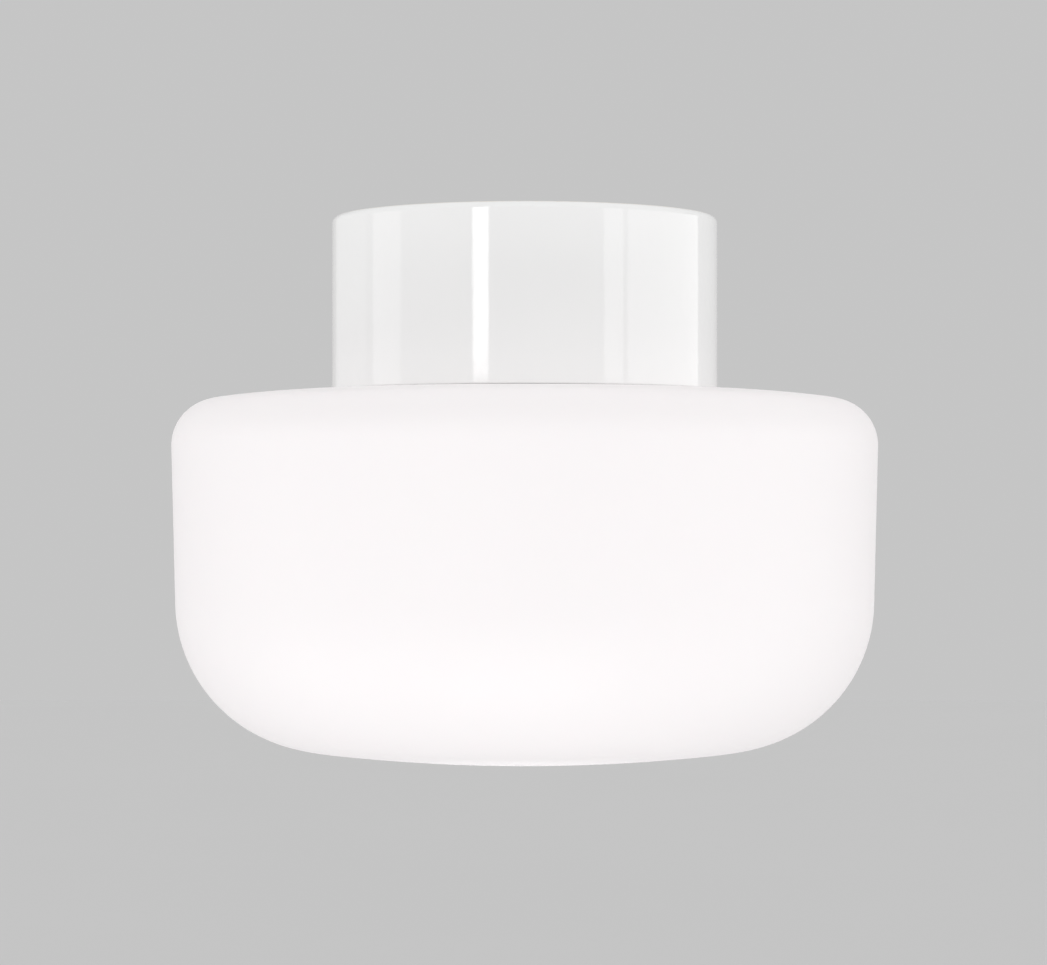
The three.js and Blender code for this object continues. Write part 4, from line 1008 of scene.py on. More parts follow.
def grommets():
    """A flange under the floor, a sleeve up the entry, and a thin skin with a nipple for the cable."""
    sleeve = ENTRY_RADIUS - SLIP_GAP
    flange_top = floor_face - SEAT_GAP
    skin = flange_top - FLANGE_THICKNESS
    for i in PAIR:
        name = f"cable_grommet_{i}"
        bottom, top = levels(name)
        flange = (high(name) - low(name))[0] / 2
        profile = rounded(
            (0, bottom, 0), (NIPPLE_RADIUS / 2, bottom, EDGE), (NIPPLE_RADIUS, skin, NIPPLE_FILLET),
            (flange, skin, FULL_EDGE), (flange, flange_top, LIP_EDGE), (sleeve, flange_top, NEAT_EDGE),
            (sleeve, top, LIP_EDGE), (sleeve - SKIN, top, EDGE), (sleeve - SKIN, flange_top, FULL_EDGE),
            (NIPPLE_RADIUS - SKIN / 2, flange_top, SOFT_EDGE),
            (NIPPLE_RADIUS / 2 - SKIN / 2, bottom + SKIN, NEAT_EDGE), (0, bottom + SKIN, 0))
        piece(f"entry_grommet_{i}", name, placed(turned(profile, MIDDLE_SIDES), *spot(name)))


def sheet():
    name = "insulating_sheet"
    (left, front, bottom), (right, back, top) = low(name), high(name)
    blank = plate(right - left, back - front, bottom, top, (back - front) / 2, FINE_EDGE, PLATE_SIDES)
    holes = [placed(hole(HOLDER_SCREW[0] / 2 + HOLE_GAP, bottom, top, HAIR_EDGE), *spot(f"holder_screw_{i}"))
             for i in PAIR]
    piece("fibre_sheet", name, carved(blank, *holes))


# Lampholder

def strip_route(width, bottom, top):
    """A strip with round ends from a rivet to the near edge of its terminal."""
    start = np.array((rivet_place, 0))
    end = np.array((0, terminal_inner + STRIP_WIDTH / 2))
    way = end - start
    blank = plate(np.linalg.norm(way) + width, width, bottom, top, width / 2, HAIR_EDGE, SMALL_SIDES)
    return placed(blank, *(start + end) / 2, turn=math.degrees(math.atan2(way[1], way[0])))


def rivet_bore(x, bottom, top, lip=HAIR_EDGE):
    return placed(hole(RIVET_RADIUS + SLIP_GAP / 2, bottom, top, lip), x)


def porcelain_holder():
    """A barrel with two ears; cut into it are the socket, the ways of the screws and their heads, and in the
    rear face a channel and a notch for each terminal."""
    mouth_face, top = levels("holder_body")
    length, radius = high("holder_body")[:2]
    ear_bottom = top - EAR_THICKNESS
    barrel = rod(radius, mouth_face, top, HOLDER_EDGE, HOLDER_SIDES)
    ears = plate(2 * length, EAR_WIDTH, ear_bottom, top, EAR_WIDTH / 2, HOLDER_EDGE, PLATE_SIDES)
    brim = socket_radius + SOCKET_LIP
    socket = turned(np.concatenate((
        [(0, mouth_face - OVERRUN), (brim, mouth_face - OVERRUN)],
        arc(brim, mouth_face + SOCKET_LIP, SOCKET_LIP, 270, 180),
        rounded((socket_radius, mouth_face + 2 * SOCKET_LIP, 0), (socket_radius, socket_floor, ROUND_EDGE),
                (0, socket_floor, 0)))), HOLDER_SIDES)
    shank, head = (diameter / 2 + HOLE_GAP for diameter in HOLDER_SCREW[:2])
    channel = strip_route(STRIP_WIDTH + 2 * SLIP_GAP, top - CHANNEL_DEPTH, top + OVERRUN)
    depth = radius - terminal_inner + SLIP_GAP + OVERRUN
    notch = plate(TERMINAL_WIDTH + 2 * SLIP_GAP, depth, top - TERMINAL_HEIGHT - 2 * SLIP_GAP, top + OVERRUN,
                  ROUND_EDGE, LIP_EDGE)
    cuts = [socket]
    for i, side in zip(PAIR, (1, -1)):
        place = spot(f"holder_screw_{i}")
        cuts += [placed(hole(shank, ear_bottom, top), *place),
                 placed(rod(head, mouth_face - OVERRUN, ear_bottom, KEEN_EDGE), *place),
                 rivet_bore(side * rivet_place, socket_floor, top, KEEN_EDGE),
                 placed(channel, turn=90 - 90 * side),
                 placed(notch, 0, side * (terminal_inner - SLIP_GAP + depth / 2))]
    piece("porcelain_holder", "holder_body", carved(joined(barrel, ears), *cuts))


def ribbon(path, thickness, width, edge=KEEN_EDGE):
    """A bent strip that lies across Y: a section with round corners is carried along a path (x, z), with its
    thickness along the path's normal."""
    along = np.gradient(path, axis=0)
    along /= np.linalg.norm(along, axis=1)[:, None]
    angle, sign = quarters(FEW_SIDES, (1, 1))
    rise = edge * np.cos(angle) + sign[:, 0] * (thickness / 2 - edge)
    across = edge * np.sin(angle) + sign[:, 1] * (width / 2 - edge)
    x = path[:, :1] - along[:, 1:] * rise
    z = path[:, 1:] + along[:, :1] * rise
    return skinned(np.stack((x, np.broadcast_to(across, x.shape), z), -1))


def rolled(outside, thickness):
    """A closed wall whose two faces follow the same rows, a thickness apart."""
    return np.concatenate((outside, outside[::-1] - (thickness, 0, 0)))


def thread_shell():
    """A rolled brass thread, with a tab that bends over the socket's floor to its rivet."""
    bottom, outer = low("holder_shell")[2], high("holder_shell")[1]
    shell_top = high("bulb_cap")[2] + SHELL_OVER
    crest = outer - SHELL_SKIN
    wave = threaded(crest, CAP_THREAD_DEPTH, bottom + SHELL_MARGIN, shell_top - SHELL_MARGIN, SHELL_FADE,
                    CAP_PITCH, -1)
    rows = np.concatenate(([(crest, bottom, 0)], wave, [(crest, shell_top, 0)])) + (SHELL_SKIN, 0, 0)
    wall = turned(rolled(rows, SHELL_SKIN), SHELL_SIDES, pitch=CAP_PITCH, closed=True)
    reach = outer - SHELL_SKIN / 2 - STRIP_THICKNESS / 2
    level = strip_top - STRIP_THICKNESS / 2
    path = rounded((reach, shell_top - TAB_OVERLAP, 0), (reach, level, TAB_BEND),
                   (rivet_place - TAB_WIDTH / 2, level, 0))
    tab = carved(ribbon(path, STRIP_THICKNESS, TAB_WIDTH),
                 rivet_bore(rivet_place, strip_top - STRIP_THICKNESS, strip_top))
    piece("brass_thread", "holder_shell", joined(wall, tab), sharp=40)


def contact_strips():
    """The riveted foot of the centre contact, and its springy tongue that is bent towards the bulb."""
    name = "centre_contact_foot"
    (left, front, bottom), (right, back, top) = low(name), high(name)
    foot = placed(plate(right - left, back - front, bottom, top, FULL_EDGE, KEEN_EDGE), (left + right) / 2)
    piece("contact_foot", name, carved(foot, rivet_bore(-rivet_place, bottom, top)))
    name = "centre_contact_tongue"
    (left, front, bottom), (right, back, top) = low(name), high(name)
    half = STRIP_THICKNESS / 2
    path = rounded((left, top - half, 0), (-right, bottom + half, TONGUE_BEND), (right, bottom + half, 0))
    piece("contact_tongue", name, ribbon(path, STRIP_THICKNESS, back - front))


def rivets():
    """A shank between two formed heads, the front one hollowed by its punch."""
    for i in PAIR:
        name = f"holder_rivet_{i}"
        bottom, top = levels(name)
        head = (high(name) - low(name))[1] / 2
        foot, neck = bottom + RIVET_HEAD_RISE, top - RIVET_HEAD_RISE
        profile = rounded(
            (0, bottom + PUNCH_DEPTH, 0), (PUNCH_FLOOR, bottom + PUNCH_DEPTH, NEAT_EDGE),
            (PUNCH_BRIM, bottom, NEAT_EDGE), (head, bottom, STAMPED_EDGE), (head, foot, RIVET_CROOK),
            (RIVET_RADIUS, foot, RIVET_CROOK), (RIVET_RADIUS, neck, RIVET_CROOK), (head, neck, RIVET_CROOK),
            (head, top, STAMPED_EDGE), (0, top, 0))
        piece(f"rivet_{i}", name, placed(turned(profile, SMALL_SIDES), *spot(name)))


def holder_terminals():
    """Brass blocks with a wire's hole and a screw's hole in their outer face, and a strip to the rivet."""
    top = high("holder_body")[2]
    strip_rear = top - CHANNEL_DEPTH + SEAT_GAP + STRIP_THICKNESS
    strip_front = strip_rear - STRIP_THICKNESS
    outer = terminal_inner + TERMINAL_DEPTH
    block = plate(TERMINAL_WIDTH, TERMINAL_DEPTH, top - TERMINAL_HEIGHT, top - SLIP_GAP, SOFT_EDGE)
    block = placed(block, 0, terminal_inner + TERMINAL_DEPTH / 2)
    screw_way = hole(TERMINAL_SCREW[0] / 2 + SLIP_GAP / 2, -TERMINAL_SCREW_LENGTH, 0, NEAT_EDGE)
    wire_way = hole(CORE_RADIUS + SLIP_GAP, -TERMINAL_DEPTH, 0, STAMPED_EDGE)
    cuts = [rivet_bore(rivet_place, strip_front, strip_rear),
            placed(screw_way, TERMINAL_SCREW_PLACE, outer, terminal_middle, tilt=-90),
            placed(wire_way, -TERMINAL_WIRE_PLACE, outer, terminal_middle, tilt=-90)]
    right = carved(joined(block, strip_route(STRIP_WIDTH, strip_front, strip_rear)), *cuts)
    left = placed(right, turn=180)
    piece("brass_terminal_2", "holder_terminal_2", right)
    piece("brass_terminal_1", "holder_terminal_1", left)
    for i, side in zip(PAIR, (-1, 1)):
        body = screw(TERMINAL_SCREW, -TERMINAL_SCREW[2], TERMINAL_SCREW_LENGTH, FINE_PITCH)
        body = placed(body, side * TERMINAL_SCREW_PLACE, side * (outer + SEAT_GAP), terminal_middle,
                      turn=90 - 90 * side, tilt=90)
        piece(f"terminal_bolt_{i}", f"holder_terminal_screw_{i}", body, sharp=40)


# Terminal block

def terminal_block():
    """Three poles side by side, drawn along X: a cell for each clamp, a way for each of its two screws, a
    groove between two poles, and a bore for the block's own screw."""
    bottom, top = levels("terminal_block")
    body = plate(BLOCK_WIDTH, BLOCK_DEPTH, bottom, top, BLOCK_CORNER, FULL_EDGE)
    cell = CLAMP_SIZE + 2 * SLIP_GAP
    through = BLOCK_DEPTH + 2 * OVERRUN
    room = plate(cell, through, pole_level - cell / 2, pole_level + cell / 2, FULL_EDGE)
    way = hole(CLAMP_SCREW[1] / 2 + SLIP_GAP, bottom, pole_level, SOFT_EDGE, sides=WAY_SIDES)
    groove = plate(GROOVE_WIDTH, through, bottom - OVERRUN, bottom + GROOVE_DEPTH, SOFT_EDGE)
    cuts = []
    for pole in (-1, 0, 1):
        x = pole * POLE_PITCH
        cuts.append(placed(room, x))
        cuts += [placed(way, x, side * CLAMP_SCREW_SPACING / 2) for side in (-1, 1)]
    cuts += [placed(groove, side * POLE_PITCH / 2) for side in (-1, 1)]
    cuts.append(rod(BLOCK_SCREW[0] / 2 + HOLE_GAP, pole_level, top + OVERRUN, KEEN_EDGE))
    body = placed(carved(body, *cuts), *spot("terminal_block"), turn=BLOCK_TURN)
    piece("pole_block", "terminal_block", body)


def clamps():
    """Square brass tubes with round corners, each bored for the wires and holed for its two screws."""
    half = CLAMP_LENGTH / 2
    for i in (1, 2, 3):
        name = f"terminal_clamp_{i}"
        tube = plate(CLAMP_SIZE, CLAMP_SIZE, -half, half, CLAMP_CORNER, CLAMP_EDGE)
        tube = placed(carved(tube, hole(CLAMP_BORE / 2, -half, half, LIP_EDGE)), tilt=90)
        way = rod(CLAMP_SCREW[0] / 2 + SLIP_GAP / 2, -CLAMP_SIZE, 0, KEEN_EDGE)
        ways = [placed(way, 0, side * CLAMP_SCREW_SPACING / 2) for side in (-1, 1)]
        piece(f"pole_clamp_{i}", name, placed(carved(tube, *ways), *spot(name), pole_level, turn=BLOCK_TURN))


# Leads

def followed(stations):
    """Points along a curve through the stations. Between p1 and p2 it is a cubic whose slope at each station
    weighs the runs to its neighbours by the square roots of their lengths."""
    given = np.array(stations, float)
    padded = np.concatenate(([2 * given[0] - given[1]], given, [2 * given[-1] - given[-2]]))
    t = np.linspace(0, len(given) - 1, CURVE_STEPS)
    i = np.minimum(t.astype(int), len(given) - 2)
    w = (t - i)[:, None]
    p0, p1, p2, p3 = (padded[i + k] for k in range(4))
    d0, d1, d2 = (np.sqrt(np.linalg.norm(b - a, axis=1))[:, None]
                  for a, b in ((p0, p1), (p1, p2), (p2, p3)))
    s1 = ((p1 - p0) / d0 - (p2 - p0) / (d0 + d1) + (p2 - p1) / d1) * d1
    s2 = ((p2 - p1) / d1 - (p3 - p1) / (d1 + d2) + (p3 - p2) / d2) * d1
    return p1 + s1 * w + (3 * (p2 - p1) - 2 * s1 - s2) * w ** 2 + (2 * (p1 - p2) + s1 + s2) * w ** 3


def lead(name, solid, stations, core_in_clamp, core_at_end):
    """A covered wire along a smooth curve: at each point its circle lies square to the run, and starts from
    the level direction across it. Past both ends of its cover the bare core runs straight on."""
    curve = followed(stations)
    ways = curve[[0, -1]] - curve[[1, -2]]
    ways /= np.linalg.norm(ways, axis=1)[:, None]
    tips = curve[[0, -1]] + ways * [[core_in_clamp], [core_at_end]]
    curve = np.concatenate((tips[:1], curve, tips[1:]))
    run = np.concatenate(([0], np.cumsum(np.linalg.norm(np.diff(curve, axis=0), axis=1))))
    start, end = core_in_clamp + BARE_RUN, run[-1] - core_at_end - BARE_RUN
    cover_ends = (start - COVER_END, start, end, end + COVER_END)
    places = np.sort(np.concatenate((np.linspace(0, run[-1], LEAD_ROWS), cover_ends)))
    path = np.stack([np.interp(places, run, curve[:, k]) for k in range(3)], 1)
    bare = (places < start - COVER_END / 2) | (places > end + COVER_END / 2)
    along = np.gradient(path, axis=0)
    along /= np.linalg.norm(along, axis=1)[:, None]
    across = np.cross((0, 0, 1), along)
    across /= np.linalg.norm(across, axis=1)[:, None]
    up = np.cross(along, across)
    angle = (np.arange(LEAD_SIDES) * FULL_TURN / LEAD_SIDES)[None, :, None]
    radii = np.where(bare, CORE_RADIUS, LEAD_RADIUS)[:, None, None]
    skin = skinned(path[:, None] + radii * (np.cos(angle) * across[:, None] + np.sin(angle) * up[:, None]))
    set_points(skin, "stripe", np.tile(np.cos(angle[0, :, 0]), len(path)))
    set_points(skin, "bare", np.repeat(bare, LEAD_SIDES))
    piece(name, solid, skin, sharp=50)


def from_pole(pole, out):
    """The point that is so far out of a pole's clamp, on its side towards the lampholder."""
    inward = np.linalg.norm(spot("terminal_block")) - CLAMP_LENGTH / 2 - out
    angle = math.radians(BLOCK_TURN - 90)
    cos, sin = math.cos(angle), math.sin(angle)
    along = POLE_PITCH * pole
    return inward * cos - along * sin, inward * sin + along * cos, pole_level


def round_axis(axis_x, degrees, radius, level):
    angle = math.radians(degrees)
    return axis_x + radius * math.cos(angle), radius * math.sin(angle), level


def into_terminal(side):
    """A lead's last two points, straight into the terminal on the side named by its sign."""
    face = terminal_inner + TERMINAL_DEPTH + SLIP_GAP
    return [(-side * TERMINAL_WIRE_PLACE, side * (face + out), terminal_middle) for out in (LEAD_RADIUS, 0)]


def leads():
    """The three leads follow the stations of their solids."""
    clear = (BLOCK_DEPTH - CLAMP_LENGTH) / 2 + LEAD_RADIUS
    lead_run = high("holder_body")[1] + 3 * LEAD_RADIUS
    in_clamp = CLAMP_LENGTH / 3
    in_terminal = TERMINAL_DEPTH / 2
    starts = {pole: [from_pole(pole, SLIP_GAP), from_pole(pole, clear)] for pole in (-1, 0, 1)}
    passed = [round_axis(0, LIVE_ANGLE, lead_run, pole_level)]
    lead("brown_lead", "lead_live", starts[-1] + passed + into_terminal(-1), in_clamp, in_terminal)
    under_ears = high("holder_body")[2] - EAR_THICKNESS - SEAT_GAP - HOLDER_SCREW[2] - 2 * LEAD_RADIUS
    between = (pole_level + under_ears) / 2
    heights = (between, under_ears, under_ears, between, pole_level - LEAD_RADIUS)
    passed = [round_axis(0, angle, lead_run, height) for angle, height in zip(NEUTRAL_ANGLES, heights)]
    lead("blue_lead", "lead_neutral", starts[0] + passed + into_terminal(1), in_clamp, in_terminal)
    run = NUT_WIDTH / math.sqrt(3) + 2 * LEAD_RADIUS
    lug_x, lug_y = spot("earth_screw")
    level = high("earth_lug")[2] - LUG_BARREL_RADIUS
    passed = [round_axis(spot("bridge_screw_2")[0], angle, reach, level)
              for angle, reach in zip(EARTH_ANGLES, (run, run, run + LEAD_RADIUS))]
    way = math.radians(LUG_ANGLE)
    mouths = [(lug_x + reach * math.cos(way), lug_y + reach * math.sin(way), level)
              for reach in (lug_radius + LUG_BARREL_LENGTH + out for out in (2 * LEAD_RADIUS, SLIP_GAP))]
    lead("earth_lead", "lead_earth", starts[1] + passed + mouths, in_clamp, LUG_BARREL_LENGTH / 2)


def lug():
    """A ring tongue with a barrel that a tool has crimped. Its dent is depth e^-(s / reach)^2 cos^2 a, for
    the way s along the barrel from its middle and the angle a from its upper side."""
    def crimped(reach, angle, z):
        along = np.exp(-((z - LUG_BARREL_LENGTH / 2) / CRIMP_REACH) ** 2)
        return reach - CRIMP_DEPTH * (along * np.clip(np.cos(angle - math.pi), 0, 1) ** 2)
    top = high("earth_lug")[2]
    bottom = top - LUG_THICKNESS
    tongue = plate(3 * lug_radius, 2 * lug_radius, bottom, top, lug_radius, NEAT_EDGE, PLATE_SIDES)
    bore = hole(EARTH_SCREW[0] / 2 + HOLE_GAP, bottom, top, FINE_EDGE)
    tongue = carved(placed(tongue, lug_radius / 2), bore)
    inner, lip = CORE_RADIUS + SLIP_GAP, LUG_BARREL_RADIUS - NEAT_EDGE
    rows = np.linspace(EDGE, LUG_BARREL_LENGTH - EDGE, LUG_ROWS)
    outside = np.stack((np.full(LUG_ROWS, LUG_BARREL_RADIUS), rows), 1)
    profile = np.concatenate(([(inner, KEEN_EDGE), (lip, 0)], outside,
                              [(lip, LUG_BARREL_LENGTH), (inner, LUG_BARREL_LENGTH - KEEN_EDGE)]))
    barrel = turned(profile, MIDDLE_SIDES, closed=True, trim=crimped)
    barrel = placed(barrel, lug_radius, 0, top - LUG_BARREL_RADIUS, turn=90, tilt=90)
    piece("ring_lug", "earth_lug", placed(joined(tongue, barrel), *spot("earth_screw"), turn=LUG_ANGLE))


# LED bulb

def cap():
    """A rolled cap whose thin wall has its thread on both faces; its skirt is dented into the housing by
    punches. Their dents are depth e^-(s / reach)^2 cos^8 (count a), for the way s up from the skirt's middle
    and the angle a."""
    def punched(reach, angle, z):
        along = np.exp(-((z - bottom - CAP_SKIRT / 2) / DENT_REACH) ** 2)
        return reach - DENT_DEPTH * (along * np.clip(np.cos(DENT_COUNT * angle), 0, 1) ** 8)
    radius = high("bulb_cap")[0]
    bottom, top = levels("bulb_cap")
    skirt_top = bottom + CAP_SKIRT
    core = radius - CAP_THREAD_DEPTH
    thread = threaded(core, CAP_THREAD_DEPTH, skirt_top + CAP_MARGINS[0], top - CAP_MARGINS[1],
                      CAP_PITCH / 2, CAP_PITCH, 1)
    skirt = np.linspace(bottom + KEEN_EDGE, skirt_top - FULL_EDGE, CAP_ROWS)
    rows = np.concatenate((
        [(radius - KEEN_EDGE, bottom, 0)],
        np.stack((np.full(CAP_ROWS, radius), skirt, np.zeros(CAP_ROWS)), 1),
        plain(arc(radius - FULL_EDGE, skirt_top - FULL_EDGE, FULL_EDGE, 0, ROLL_END, LIP_STEPS)),
        [(core, skirt_top + EDGE, 0)], thread,
        plain(arc(core - SOFT_EDGE, top - SOFT_EDGE, SOFT_EDGE, 0, ROLL_END, LIP_STEPS))))
    body = turned(rolled(rows, CAP_SKIN), CAP_SIDES, pitch=CAP_PITCH, closed=True, trim=punched)
    piece("nickel_cap", "bulb_cap", body, sharp=50)


def cap_end():
    """The black glass end of the cap and the contact that is soldered into its middle. The contact's crown
    is an arc of the radius (r^2 + h^2) / (2 h), for its rise h over the rim of radius r."""
    bottom, top = levels("bulb_cap_insulator")
    brim = high("bulb_cap_insulator")[0]
    brim_bottom = high("bulb_cap")[2] + SEAT_GAP
    rise = (top - brim_bottom) / 4
    profile = rounded(
        (0, top, 0), (INSULATOR_TOP_RADIUS, top, ROUND_EDGE), (brim, brim_bottom + rise, ROUND_EDGE),
        (brim, brim_bottom, NEAT_EDGE), (stem_radius, brim_bottom, NEAT_EDGE),
        (stem_radius, bottom, SOFT_EDGE), (0, bottom, 0))
    piece("black_end", "bulb_cap_insulator", turned(profile, PLATE_SIDES))
    bottom, top = levels("bulb_contact")
    radius = high("bulb_contact")[0]
    crown_rise = top - bottom - CONTACT_RIM
    crown = (radius ** 2 + crown_rise ** 2) / (2 * crown_rise)
    reach = math.degrees(math.asin((radius - KEEN_EDGE) / crown))
    profile = np.concatenate((arc(0, top - crown, crown, 90, 90 - reach, CROWN_STEPS),
                              rounded((radius, bottom + LIP_EDGE, 0), (radius, bottom, CRISP_EDGE),
                                      (0, bottom, 0))))
    piece("end_contact", "bulb_contact", turned(profile, MIDDLE_SIDES))


def housing_curve(inset):
    """The housing's flare, from its neck down to the dome's seam: the radius eases out as a straight share
    and then a squared sine of the way down."""
    share = np.linspace(0, 1, FLARE_STEPS + 1)
    straight = share * FLARE_SHARE
    ease = straight + (1 - straight) * np.sin(share * math.pi / 2) ** 2
    neck = high("bulb_cap")[0] + SEAT_GAP
    seam_radius = high("bulb_housing")[0]
    return np.stack((neck + (seam_radius - neck) * ease - inset,
                     housing_top + (low("bulb_housing")[2] - housing_top) * share), 1)


def housing():
    """A stem inside the cap, the flare, and within its rim a ledge for the boards."""
    bottom, stem_top = levels("bulb_housing")
    seam_radius, neck = high("bulb_housing")[0], high("bulb_cap")[0] + SEAT_GAP
    wide = high("bulb_led_board")[0] + SLIP_GAP
    narrow = wide - HOUSING_LEDGE
    seat = high("bulb_heat_spreader")[2] + SEAT_GAP
    inside = housing_curve(BULB_WALL)
    inside = inside[(inside[:, 1] > seat + HOUSING_LEDGE) & (inside[:, 1] < housing_top - BULB_WALL)][::-1]
    inside[:, 0] = np.minimum(inside[:, 0], narrow)
    profile = np.concatenate((
        rounded((stem_radius - BULB_WALL, stem_top, 0), (stem_radius, stem_top, LIP_EDGE),
                (stem_radius, housing_top, NEAT_EDGE), (neck - EDGE, housing_top, 0)),
        housing_curve(0)[1:-1],
        rounded((seam_radius, bottom + NEAT_EDGE, 0), (seam_radius, bottom, CRISP_EDGE),
                (wide, bottom, CRISP_EDGE), (wide, seat, NEAT_EDGE), (narrow, seat, EDGE),
                (narrow, seat + LEDGE_LIP, 0)),
        inside, [(stem_radius - BULB_WALL, housing_top - BULB_WALL)]))
    piece("bulb_body", "bulb_housing", turned(profile, CAP_SIDES, closed=True))


def dome():
    """A diffuser that is most of a sphere, with an even wall."""
    radius, seam = high("bulb_dome")[0], high("bulb_dome")[2]
    centre = low("bulb_dome")[2] + radius
    outer = math.degrees(math.asin((seam - centre) / radius))
    inner = math.degrees(math.asin((seam - centre) / (radius - BULB_WALL)))
    profile = np.concatenate((arc(0, centre, radius, -90, outer, DOME_STEPS[0]),
                              arc(0, centre, radius - BULB_WALL, inner, -90, DOME_STEPS[1])))
    piece("bulb_diffuser", "bulb_dome", turned(profile, CAP_SIDES))


def marked(item, label, rule):
    """Gives each point of a piece a one or a zero, by a rule on its place in millimetres."""
    places = np.empty(len(item.data.vertices) * 3)
    item.data.vertices.foreach_get("co", places)
    set_points(item.data, label, rule(places.reshape(-1, 3) / MM))


def boards():
    """The heat spreader, and the board with its ring of light chips."""
    radius = high("bulb_heat_spreader")[0]
    bottom, top = levels("bulb_heat_spreader")
    ways = [placed(hole(WIRE_WAY, bottom, top, NEAT_EDGE), side * radius / 3) for side in (-1, 1)]
    disc = rod(radius, bottom, top, NEAT_EDGE, BOARD_SIDES)
    piece("spreader_disc", "bulb_heat_spreader", carved(disc, *ways))
    chip_face, top = levels("bulb_led_board")
    bottom = top - BOARD_THICKNESS
    chip = plate(CHIP_SIZE, CHIP_SIZE, chip_face, bottom + SOFT_EDGE, EDGE, FINE_EDGE, FEW_SIDES)
    reach = radius - CHIP_INSET
    chips = []
    for i in range(CHIP_COUNT):
        turn = 360 * i / CHIP_COUNT
        angle = math.radians(turn)
        chips.append(placed(chip, reach * math.cos(angle), reach * math.sin(angle), turn=turn))
    board = rod(radius, bottom, top, KEEN_EDGE, BOARD_SIDES)
    item = piece("light_board", "bulb_led_board", joined(board, *chips))
    marked(item, "chips", lambda places: places[:, 2] < chip_face + CHIP_MARK)


def driver():
    """The driver board, with a sleeved can and a wound reel through it."""
    (left, front, bottom), (right, back, top) = low("bulb_driver_board"), high("bulb_driver_board")
    board = plate(right - left, DRIVER_THICKNESS, bottom, top, DRIVER_CORNER, CRISP_EDGE)
    centre = (bottom + top) / 2
    part = (back + CAN_OVERLAP) / 2
    can_bottom = bottom + PART_HEIGHT
    bead = [can_bottom + level for level in BEAD_LEVELS]
    can = turned(rounded((0, can_bottom, 0), (part, can_bottom, EDGE), (part, bead[0], NEAT_EDGE),
                         (part - BEAD_DEPTH, bead[1], EDGE), (part, bead[2], NEAT_EDGE),
                         (part, centre, ROUND_EDGE), (0, centre, 0)), MIDDLE_SIDES)
    coil_bottom, coil_top = centre + PART_HEIGHT / 2, top - PART_HEIGHT
    length, width = 2 * part, -2 * front
    reel = [plate(length, width, foot, foot + REEL_CHEEK, REEL_CORNER)
            for foot in (coil_bottom, coil_top - REEL_CHEEK)]
    winding = plate(length - 2 * WINDING_INSET, width - 2 * WINDING_INSET, coil_bottom + WINDING_MARGIN,
                    coil_top - WINDING_MARGIN, WINDING_CORNER, LIP_EDGE)
    item = piece("driver", "bulb_driver_board", joined(board, placed(can, 0, back - part), winding, *reel))
    marked(item, "parts", lambda places: np.abs(places[:, 1]) > DRIVER_THICKNESS / 2 + PART_MARK)


for make in (base, shade, soft_rings, fasteners, bridge, grommets, sheet, porcelain_holder, thread_shell,
             contact_strips, rivets, holder_terminals, terminal_block, clamps, leads, lug, cap, cap_end,
             housing, dome, boards, driver):
    make()


# Camera, light and floor, in metres
CAMERA_PLACE = (-0.00034, -1, -0.0885)
CAMERA_PITCH = 90.76
CAMERA_LENS = 120.93
SENSOR_WIDTH = 36
NEAREST, FARTHEST = 0.05, 100
AIM = Vector((0, 0, -0.08))
FLOOR_LEVEL = -1.6
FLOOR_REACH = 30
PALE_GREY = (0.56, 0.56, 0.56, 1)
FLOOR_GREY = (0.605, 0.605, 0.605, 1)
EVEN_LIGHT = 0.92

# Degrees to the left of the camera's side, distance from the axis, level, width, height, and radiance
SOFT_BOXES = {
    "strip": (25.4, 1.6, 0.21, 0.26, 0.38, 5.2),
    "left_box": (88.5, 1.6, 0.08, 0.65, 0.45, 0.85),
    "left_far_box": (129, 1.6, 0.08, 1.3, 0.9, 0.25),
    "right_edge": (-52.9, 1.6, 0.08, 0.348, 0.45, 1.3),
    "right_box": (-93.1, 1.6, 0.08, 1.915, 0.45, 1.2),
    "rear_strip": (180, 1.6, -0.2, 0.16, 1.2, 2.4),
    "front_high": (5, 1.9, 1.4, 1.5, 0.9, 0.47),
    "front_low": (0, 1.9, -1.2, 1.5, 0.7, 0.2),
    "under": (0, 0.9, -1.3, 1.2, 0.8, 2),
    "low_left": (80, 1.2, -1, 1, 0.8, 1.1),
    "low_right": (-80, 1.2, -1, 1, 0.8, 0.7),
}


def camera():
    lens = bpy.data.cameras.new("camera")
    lens.lens, lens.sensor_width = CAMERA_LENS, SENSOR_WIDTH
    lens.clip_start, lens.clip_end = NEAREST, FARTHEST
    item = bpy.data.objects.new("camera", lens)
    item.location = CAMERA_PLACE
    item.rotation_euler = (math.radians(CAMERA_PITCH), 0, 0)
    scene.collection.objects.link(item)
    scene.camera = item


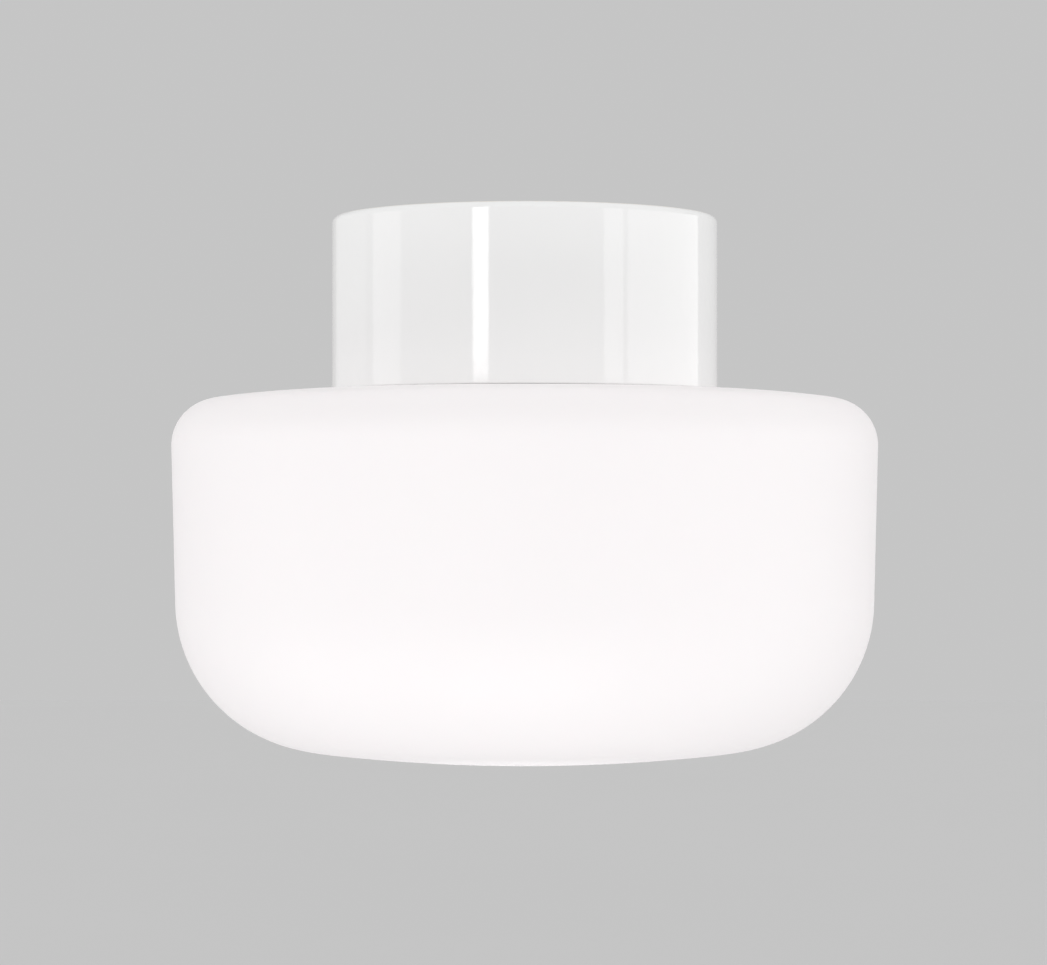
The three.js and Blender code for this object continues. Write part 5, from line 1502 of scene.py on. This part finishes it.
def soft_box(name, left, distance, level, width, height, radiance):
    """A rectangular lamp that faces the object, so many degrees to the left of the camera's side. Its
    radiance is its power / (pi width height)."""
    light = bpy.data.lights.new(name, "AREA")
    light.shape, light.size, light.size_y = "RECTANGLE", width, height
    light.energy = radiance * math.pi * width * height
    item = bpy.data.objects.new(name, light)
    angle = math.radians(left)
    item.location = (-distance * math.sin(angle), -distance * math.cos(angle), level)
    item.rotation_euler = (AIM - item.location).to_track_quat("-Z", "Y").to_euler()
    item.visible_camera = False
    scene.collection.objects.link(item)


def surroundings():
    """Even light from all round; a camera, a gloss and clear glass see a pale grey there instead."""
    world = bpy.data.worlds.new("surroundings")
    world.use_nodes = True
    scene.world = world
    tree = world.node_tree
    tree.nodes.clear()
    path = node(tree, "ShaderNodeLightPath").outputs
    seen = path["Is Camera Ray"]
    for ray in ("Is Glossy Ray", "Is Transmission Ray"):
        seen = node(tree, "ShaderNodeMath", {0: seen, 1: path[ray]}, operation="MAXIMUM").outputs[0]
    lit = node(tree, "ShaderNodeBackground", {"Color": (1, 1, 1, 1), "Strength": EVEN_LIGHT})
    shown = node(tree, "ShaderNodeBackground", {"Color": PALE_GREY, "Strength": 1})
    mix = node(tree, "ShaderNodeMixShader", {0: seen, 1: lit.outputs[0], 2: shown.outputs[0]})
    node(tree, "ShaderNodeOutputWorld", {"Surface": mix.outputs[0]})


def floor():
    mesh = bpy.data.meshes.new("pale_floor")
    signs = ((-1, -1), (1, -1), (1, 1), (-1, 1))
    corners = [(x * FLOOR_REACH, y * FLOOR_REACH, FLOOR_LEVEL) for x, y in signs]
    mesh.from_pydata(corners, [], [(0, 1, 2, 3)])
    item = bpy.data.objects.new("pale_floor", mesh)
    scene.collection.objects.link(item)
    material, tree, shader, place = new_material("pale_floor", Roughness=0.9)
    feed(tree, shader, Base_Color=drifted(tree, place, FLOOR_GREY, 0.4, 0.02))
    mesh.materials.append(material)


camera()
surroundings()
floor()
for name, values in SOFT_BOXES.items():
    soft_box(name, *values)

scene.view_settings.view_transform = "Standard"
